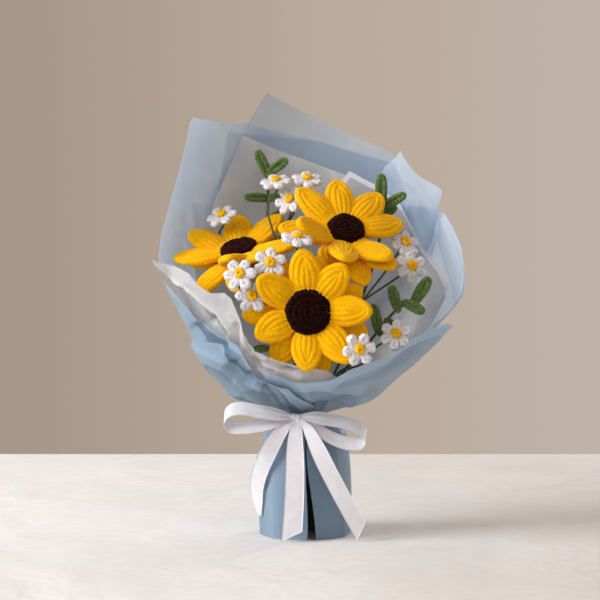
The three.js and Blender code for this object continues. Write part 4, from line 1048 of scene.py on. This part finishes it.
# ------------------------------------------------------------------ flowers
class Face:
    def __init__(self, c, n):
        self.c = np.array(c, float)
        self.N = unit(n)
        e1 = unit(np.cross([0, 0, 1], self.N))
        if e1[0] < 0:
            e1 = -e1
        e2 = np.cross(self.N, e1)
        if e2[2] < 0:
            e2 = -e2
        self.e1, self.e2 = e1, e2

    def at(self, az, r, h):
        az, r, h = (np.asarray(x, float)[..., None] for x in (az, r, h))
        return self.c + self.e1 * (r * np.cos(rad(az))) + self.e2 * (r * np.sin(rad(az))) + self.N * h


def petal_line(lift, L, h0, bulge):
    """Middle line of a petal: distance from the disc's edge to (radius, height, tilt)."""
    d = np.linspace(-12, L + 2, 240)
    tilt = rad(lift) * smooth(-3, 7, d) + np.where(d > 0, np.arctan(bulge * np.pi / L * np.cos(np.pi * np.clip(d, 0, L) / L)), 0)
    dd = np.diff(d)
    r = 12 + np.concatenate([[0], np.cumsum(np.cos((tilt[1:] + tilt[:-1]) / 2) * dd)])
    h = h0 + np.concatenate([[0], np.cumsum(np.sin((tilt[1:] + tilt[:-1]) / 2) * dd)])
    return d, r, h, tilt


def petal(B, f, az, lift, L, W, h0, crown, r0=3.2, seed=0, curl=0.0):
    """One petal: three nested loops of one chenille stem, pinched at the tip."""
    r = np.random.default_rng(seed)
    d_, r_, h_, t_ = petal_line(lift, L, h0, 2.0)
    side = f.at(az + 90, 1.0, 0.0) - f.c
    half = W / 2 - r0 + 0.3
    lean = r.uniform(-0.8, 0.8)
    start = -9.0

    def place(x, d, q):
        rr = np.interp(d, d_, r_) - q * np.sin(np.interp(d, d_, t_))
        hh = np.interp(d, d_, h_) + q * np.cos(np.interp(d, d_, t_))
        return f.at(az, rr, hh) + side * x[..., None]

    def outline(tau):
        body = 0.52 + 0.48 * np.sin(np.pi / 2 * np.clip(tau / 0.62, 0, 1)) ** 1.2
        return 1.03 * body * np.clip(1 - tau**3.4, 0, 1) ** 0.62

    for k, q in enumerate((1.0, 0.585, 0.195)):
        top = L - r0 * 0.8 - (0, 3.6, 8.2)[k] + r.uniform(-0.4, 0.4)
        s = np.linspace(0, 1, 160)
        tau = 1 - (1 - s) ** 2.2
        x = q * half * outline(tau) * (1 + r.uniform(-0.03, 0.03))
        d = start + tau * (top - start)
        X = np.concatenate([x, -x[::-1][1:]])
        D = np.concatenate([d, d[::-1][1:]])
        X = X + lean * smooth(0, L, D) + 0.25 * np.sin(D / 7.0 + r.uniform(0, 6))
        # the inner loops sink into the outer one towards the tip
        sink = (0.0, 0.9, 1.7)[k] * smooth(0.45, 1.0, D / top) - (0.0, 0.35, 0.45)[k]
        Q = crown * (1 - (X / (W / 2)) ** 2) - 0.35 * crown + curl * (X / (W / 2)) ** 2 - sink * np.sign(crown)
        P = resample(place(X, D, Q), 0.62)
        # the tube thins where the strands are pressed together at the disc
        dist = np.linalg.norm(P - f.at(az, 15.0, h0), axis=1)
        rt = r0 * (1.0, 1.02, 1.04)[k] * lerp(0.70, 1.0, smooth(2, 15, dist))
        tube(B, P, rt, 18, ref=f.N, rough=0.045, wob=0.025)
    # pinched tip
    tip = np.linspace(L - 4.5, L - 0.4, 8)
    P = place(0 * tip + lean, tip, 0 * tip + crown * 0.5)
    tube(B, resample(P, 0.5), np.linspace(2.6, 1.3, len(resample(P, 0.5))), 12, ref=f.N, rough=0.08)


def spiral(f, r_in, r_out, pitch, height, step=0.6):
    turns = (r_out - r_in) / pitch
    th = np.linspace(0, turns * 2 * np.pi, int(turns * 120) + 2)
    rr = r_in + (r_out - r_in) * th / th[-1]
    return resample(f.at(np.degrees(th), rr, height(rr)), step)


SUNFLOWERS = {
    "main": dict(
        c=[2.2, -66, 226.8], n=[0, -0.998, 0.06],
        front=[[94, 8, 36.7], [52, 8, 33.6], [1, 8, 37.7], [310, 8, 38.9], [268, 8, 32.8], [204, 8, 32], [146, 18, 36]],
        back=[[77, -8, 31], [23, -8, 32], [338, -8, 36.7], [284, -8, 39.7], [237, -8, 36], [182, -12, 39.7], [123, -8, 34]],
        slot=(4.05, 270), via=[[2, -34, 218], [1, -16, 180]],
        leaf=dict(twig=[[0.5, -16.5, 181], [-14, -35, 184], [-31, -43.5, 190], [-39, -50, 191]], blade=[[-38, -49.5, 191], [-51, -68, 189], 11]),
        crown=4.8,
    ),
    "right": dict(
        c=[39, -18, 304.7], n=[0.2, -0.732, 0.652],
        front=[[87, 1, 42], [47, 0, 42], [13, -10, 42], [299, 27, 42], [252, 32, 42], [192, 36, 42], [128, 4, 42]],
        back=[[70, -14, 42], [25, -18, 40], [308, 16, 42], [276, 4, 42], [236, 8, 24], [173, 2, 42], [118, -12, 38]],
        slot=(4.05, 30), via=[[29, 14, 268], [16, 10, 205]],
        crown=4.2, disc=0.84,
    ),
    "left": dict(
        c=[-66.8, 8, 285.3], n=[-0.186, -0.451, 0.873],
        front=[[198, 0, 42], [164, 16, 40], [112, 8, 42], [68, 9, 42], [357, 8, 42], [315, 22, 42], [287, 32, 42]],
        back=[[243, -20, 42], [138, 2, 20], [182, -10, 31], [98, -10, 40], [58, -10, 38], [338, -12, 38], [290, -10, 38]],
        slot=(4.05, 150), via=[[-60, 18, 248], [-30, 14, 190]],
        crown=4.2, disc=0.84,
    ),
}


def slot_at(r, a, z, spread=1.0):
    return [r * spread * math.cos(math.radians(a)), r * spread * math.sin(math.radians(a)), z]


def lower(r, a):
    return [slot_at(r, a, FLOOR + 1, 1.9), slot_at(r, a, 60, 1.45), slot_at(r, a, 104), slot_at(r, a, 130)]


def leaf(B, base, tip, w, facing=(0, -1, 0.25), mat=0):
    """One leaf: a closed loop of green chenille with a narrow gap down its middle."""
    b = np.array(tip, float)
    axis = unit(b - np.array(base, float))
    a = np.array(base, float) - 3.5 * axis
    L = np.linalg.norm(b - a)
    nn = np.array(facing, float)
    nn = unit(nn - axis * (nn @ axis))
    side = np.cross(axis, nn)
    r = 0.232 * w + 0.05
    t = np.linspace(0, 2 * np.pi, 120, endpoint=False)
    half = w / 2 - 0.93 * r
    along = L / 2 + 0.6 + (L / 2 - r + 0.8) * -np.cos(t)
    x = half * np.sign(np.sin(t)) * np.abs(np.sin(t)) ** 0.8 * (0.86 + 0.2 * (1 - np.cos(t)) / 2)
    bow = 1.3 * np.sin(np.pi * along / L)
    P = a + axis * along[:, None] + side * x[:, None] + nn * bow[:, None]
    P = resample(P, 0.55, closed=True)
    tube(B, P, r, 16, ref=nn, closed=True, rough=0.15, wob=0.06, mat=mat)
    # a darker strand down the middle, below the other two
    P = a + axis * np.linspace(0.16 * L, L - 0.42 * w, 30)[:, None] - nn * 0.5 * r
    P = P + nn * (1.3 * np.sin(np.pi * np.linspace(0.16, 1 - 0.42 * w / L, 30)))[:, None]
    tube(B, resample(P, 0.6), 0.11 * w + 0.3, 10, rough=0.15, mat=mat)
    # short neck that joins the loop to its wire
    P = np.stack([np.array(base, float) - axis * 4.5, a + axis * 3.0])
    tube(B, resample(P, 0.7), 1.5, 10, rough=0.12, mat=mat)


seed = 100
for name, s in SUNFLOWERS.items():
    f = Face(s["c"], s["n"])
    for ring, h0, W, crown in (("front", 0.0, 32.0, s["crown"]), ("back", -9.0, 30.0, s["crown"] * 0.8)):
        B = Build()
        for az, lift, L in s[ring]:
            seed += 1
            petal(B, f, az, lift, L, W, h0, crown, 3.75 if ring == "front" else 3.5, seed)
        # hub of the ring: a tight coil that the petals are bent from
        P = spiral(f, 1.5, 14.0, 4.2, lambda r: h0 + 0 * r - (1.0 if ring == "back" else 0.0), 0.8)
        tube(B, P, 2.5, 10, ref=f.N, rough=0.14)
        B.make("sunflower_%s_%s_chenille" % (name, ring), YELLOW, "sunflower_%s_%s_petals" % (name, ring))
    B = Build()
    k = s.get("disc", 1.0)
    top = pchip([[0, 8.0 * k**1.4], [8 * k, 8.3 * k**1.4], [14 * k, 8.0 * k**1.4], [18 * k, 7.0 * k**1.4], [20.2 * k, 5.6 * k**1.4]])
    tube(B, spiral(f, 0.4, 19.9 * k, 4.95, top, 0.55), 3.15, 16, ref=f.N, rough=0.24, wob=0.10)
    rim_r = 19.9 * k
    tube(B, resample(f.at(np.linspace(0, 360, 120, endpoint=False), np.full(120, rim_r), np.full(120, 4.4 * k)), 0.6, True), 2.6, 14, ref=f.N, closed=True, rough=0.24, wob=0.08)
    B.make("sunflower_%s_disc_coil" % name, BROWN, "sunflower_%s_disc" % name)
    root, neck = f.at(0, 0, -11.8), f.at(0, 0, -23)
    B = Build()
    P = resample(catmull([*lower(*s["slot"]), *s["via"][::-1], neck, root], 40), 1.6)
    tube(B, P, 2.9, 16, wob=0.03, rough=0.02)
    # calyx: a green coil that holds the stem to the back of the flower
    tube(B, spiral(f, 3.0, 8.0, 3.6, lambda r: -13.4 - (8 - r) * 0.35, 0.8), 2.0, 10, ref=f.N, rough=0.12)
    if "leaf" in s:
        tube(B, resample(catmull(s["leaf"]["twig"], 24), 1.2), 1.15, 12, wob=0.03)
        leaf(B, *s["leaf"]["blade"], facing=(-0.1, -0.6, 0.8), mat=1)
    B.make("sunflower_%s_stem_floss" % name, [STEM, GREEN], "sunflower_%s_stem" % name)

DAISIES = [
    ([-84.9, 30, 321.2], [-0.3, -0.55, 0.78], 20),
    ([-29.8, 22, 355.3], [-0.1, -0.4, 0.9], 0),
    ([1.6, 30, 357.8], [0.05, -0.5, 0.86], 30),
    ([-15.5, 18, 337], [-0.35, -0.8, 0.45], 10),
    ([-8.2, -61.5, 296], [0.1, -0.35, 0.93], 15),
    ([-62.8, -74, 262.3], [-0.2, -0.9, 0.35], 5),
    ([-34.2, -62, 273], [0, -0.95, 0.3], 25),
    ([-51.5, -64, 241.5], [0, -0.97, 0.2], 0),
    ([98.7, 4, 293.2], [0.35, -0.75, 0.55], 12),
    ([104.6, -12, 270.1], [0.2, -0.93, 0.3], 28),
    ([50.4, -87, 192.2], [0.05, -0.99, -0.05], 8),
    ([87.1, -50, 203.8], [0.05, -0.9, 0.4], 20),
]
daisy_faces = [Face(c, n) for c, n, _ in DAISIES]
for i, (c, n, turn) in enumerate(DAISIES):
    f = daisy_faces[i]
    tag = "daisy_%02d" % (i + 1)
    r = np.random.default_rng(500 + i)
    B = Build()
    line = []
    for k in range(6):
        az = turn + 60 * k + r.uniform(-3, 3)
        reach = 11.5 + r.uniform(-0.5, 0.3)
        wide = 2.0 + r.uniform(-0.15, 0.15)
        lift = r.uniform(-0.5, 0.6)
        for s_ in np.linspace(-1, 1, 25):
            # from the hub out along one side, round the end and back
            ang = s_ * np.pi * 0.5
            if abs(s_) < 0.5:
                a2 = s_ * np.pi
                x, y = wide * np.sin(a2), reach + wide * np.cos(a2) * 0.95
            else:
                q = (1 - abs(s_)) / 0.5
                x = np.sign(s_) * lerp(1.7, wide, q**0.7)
                y = lerp(4.6, reach, q)
            p = f.at(az, y, lift * smooth(5, 14, y) + 0.5 * smooth(3, 8, y) + 0.2) + (f.at(az + 90, 1.0, 0.0) - f.c) * x
            line.append(p)
    P = resample(np.array(line), 0.55, closed=True)
    tube(B, P, 2.95, 18, ref=f.N, closed=True, rough=0.30, wob=0.12, flat=0.90)
    B.make(tag + "_chenille", WHITE, tag + "_petals")
    B = Build()
    P = spiral(f, 0.3, 3.9, 2.5, lambda q: 5.0 - 0.09 * q**2, 0.5)
    tube(B, P, 2.4, 14, ref=f.N, rough=0.18)
    B.make(tag + "_centre_coil", GOLD, tag + "_centre")

SPRAYS = {
    "left": dict(slot=(9.1, 84), trunk=[[-4, 13, 182], [-20, 9, 242], [-27, 8, 268]], wires=[(0, [-50, 44, 266], [-80, 51, 282], [-87, 50.5, 293.5], [-88, 42, 306]), (1, [-31, 11, 298], [-38, 24, 332]), (2, [-27, 9, 296], [-12, 30, 325]), (3, [-27, 9, 296], [-16, 26, 322])]),
    "middle": dict(slot=(9.1, 235), trunk=[[-10, -20, 172], [-24, -32, 212]], wires=[(4, [-12, -36, 240], [-8, -42, 266], [-7, -53, 282]), (5, [-44, -38, 238], [-66, -50, 252]), (6, [-42, -38, 240], [-40, -50, 258]), (7, [-42, -38, 234], [-48, -50, 238])]),
    "right": dict(slot=(9.1, 0), trunk=[[28, 0, 162], [50, -6, 214], [57, -9, 238]], wires=[(8, [80, -2, 266]), (9, [80, -9, 252])]),
    "front": dict(slot=(9.1, 305), trunk=[[14, -24, 148], [36, -40, 170]], wires=[(10, [56, -56, 177], [61, -74, 186]), (11, [62, -46, 188], [76, -47, 197])]),
}
for name, s in SPRAYS.items():
    B = Build()
    trunk = resample(catmull([*lower(*s["slot"]), *s["trunk"]], 40), 1.0)
    # two strands twisted together
    dist = np.arange(len(trunk)) * 1.0
    T = unit(np.gradient(trunk, axis=0))
    a = unit(np.cross(T, [0.3, 1, 0.2]))
    b = np.cross(T, a)
    for phase in (0, np.pi):
        w = 2 * np.pi * dist / 9.0 + phase
        P = trunk + 0.72 * (np.cos(w)[:, None] * a + np.sin(w)[:, None] * b)
        tube(B, P, 0.92, 8)
    fork, under = np.array(s["trunk"][-1], float), np.array(s["trunk"][-2], float)
    start = lerp(fork, under, 0.06)
    for k, *via in s["wires"]:
        f = daisy_faces[k]
        P = resample(catmull([start, *via, f.at(0, 0, -8), f.at(0, 0, -0.5)], 24), 1.0)
        tube(B, P, 1.05, 10)
    B.make("daisy_spray_%s_floss" % name, STEM, "daisy_spray_%s_wires" % name)

SPRIGS = {
    "left": dict(slot=(9.1, 110), stem=[[-14, 26, 190], [-34, 50, 258], [-39, 56, 306], [-38.5, 50, 340], [-38, 44, 368]], leaves=[[[-38, 45, 364], [-49.5, 42, 389], 11], [[-38, 44, 366], [-19, 40, 380], 11], [[-38.5, 50, 341], [-62, 44, 342], 10], [[-38.5, 50, 341], [-22, 44, 342], 9], [[-39, 55, 318], [-20, 48, 330], 8]]),
    "upper_right": dict(slot=(9.1, 58), stem=[[30, 26, 180], [62, 40, 250], [76, 38, 300], [77, 31, 332]], leaves=[[[77, 31, 330], [77, 28, 364], 12.5], [[77, 31, 330], [101, 26, 344], 11], [[76.5, 34, 318], [92, 28, 331], 8]]),
    "right": dict(slot=(9.1, 335), stem=[[24, -12, 150], [52, -30, 184], [68, -38, 204], [90, -34, 229], [108, -30, 238]], leaves=[[[107, -30, 236], [121, -31, 259], 12.5], [[98, -32, 235], [115, -38, 226], 11], [[90, -33.5, 229], [84, -31, 251], 11], [[80, -36, 217], [91, -41, 206], 10], [[72, -38, 206], [66, -36, 233], 11]]),
}
for name, s in SPRIGS.items():
    B = Build()
    P = resample(catmull([*lower(*s["slot"]), *s["stem"]], 40), 1.2)
    tube(B, P, 1.5, 12, wob=0.04, mat=1)
    for base, tip, w in s["leaves"]:
        leaf(B, base, tip, w)
    B.make("leaf_sprig_%s_chenille" % name, [GREEN, STEM], "leaf_sprig_" + name)

# ------------------------------------------------------------------ stage
m, nt = new_material("pale_cloth")
xyz = coords(nt)
fine = noise(nt, xyz, 520.0, 2.0)
slub = noise(nt, xyz, 60.0, 4.0, 0.6, 0.4)
slow = noise(nt, xyz, 7.0, 3.0, 0.5, 0.6)
k = math_node(nt, "ADD", math_node(nt, "MULTIPLY", fine, 0.35), math_node(nt, "ADD", math_node(nt, "MULTIPLY", slub, 0.3), math_node(nt, "MULTIPLY", slow, 0.35)))
c = ramp(nt, k, [(0.36, (0.70, 0.695, 0.69)), (0.62, (0.80, 0.792, 0.786))])
# painted shade on the floor: the cloth is darker towards the right
floor_shade_xyz = nt.nodes.new("ShaderNodeSeparateXYZ")
nt.links.new(xyz, floor_shade_xyz.inputs[0])
c = mixed(nt, 1.0, c, ramp(nt, math_node(nt, "ADD", math_node(nt, "MULTIPLY", floor_shade_xyz.outputs[0], 1.25), 0.5), [(0.42, (1.0, 1.0, 1.0)), (0.62, (0.93, 0.915, 0.90)), (0.9, (0.885, 0.865, 0.85))]), "MULTIPLY")
b = node(nt, "ShaderNodeBsdfPrincipled", Roughness=0.92)
nt.links.new(c, b.inputs["Base Color"])
nt.links.new(bump(nt, slow, 0.5, 0.02, bump(nt, fine, 0.35, 0.0004)), b.inputs["Normal"])
finish_material(m, nt, b.outputs[0])
me = bpy.data.meshes.new("table_top")
z = -0.0002
me.from_pydata([(-3, -3, z), (3, -3, z), (3, 0.690, z), (-3, 0.690, z)], [], [(0, 1, 2, 3)])
me.materials.append(m)
floor = bpy.data.objects.new("table_top", me)
bpy.context.scene.collection.objects.link(floor)


def lamp(name, where, at, size, watts, colour=(1, 1, 1)):
    li = bpy.data.lights.new(name, "AREA")
    li.shape, li.size, li.size_y, li.energy, li.color = "RECTANGLE", size[0], size[1], watts, colour
    ob = bpy.data.objects.new(name, li)
    ob.location = where
    d = np.array(at, float) - np.array(where, float)
    ob.rotation_euler = Vector(d).to_track_quat("-Z", "Y").to_euler()
    bpy.context.scene.collection.objects.link(ob)
    return ob


lamp("window_left", (-2.1, -0.8, 1.35), (0, 0, 0.2), (1.5, 1.5), 72, (0.96, 0.98, 1.0))
lamp("fill_front", (-0.2, -2.6, 1.3), (0, 0, 0.25), (1.8, 1.2), 7, (1.0, 0.98, 0.96))
lamp("glow_left", (-1.1, 1.7, 1.3), (0, 0, 0.3), (1.2, 1.2), 6, (0.95, 0.98, 1.0))
lamp("glow_right", (1.55, 1.7, 0.8), (0, 0, 0.3), (1.1, 1.1), 20, (0.95, 0.98, 1.0))

world = bpy.data.worlds.new("studio")
bpy.context.scene.world = world
world.use_nodes = True
wt = world.node_tree
bg = wt.nodes["Background"]
bg.inputs["Strength"].default_value = 1.0
# a plain wall, a little paler towards the right
sep = wt.nodes.new("ShaderNodeSeparateXYZ")
wt.links.new(wt.nodes.new("ShaderNodeTexCoord").outputs["Generated"], sep.inputs[0])
wall = ramp(wt, math_node(wt, "ADD", math_node(wt, "MULTIPLY", sep.outputs[0], 2.4), 0.5), [(0.1, (0.392, 0.308, 0.248)), (0.55, (0.492, 0.404, 0.330)), (1.0, (0.528, 0.450, 0.398))])
wt.links.new(wall, bg.inputs["Color"])
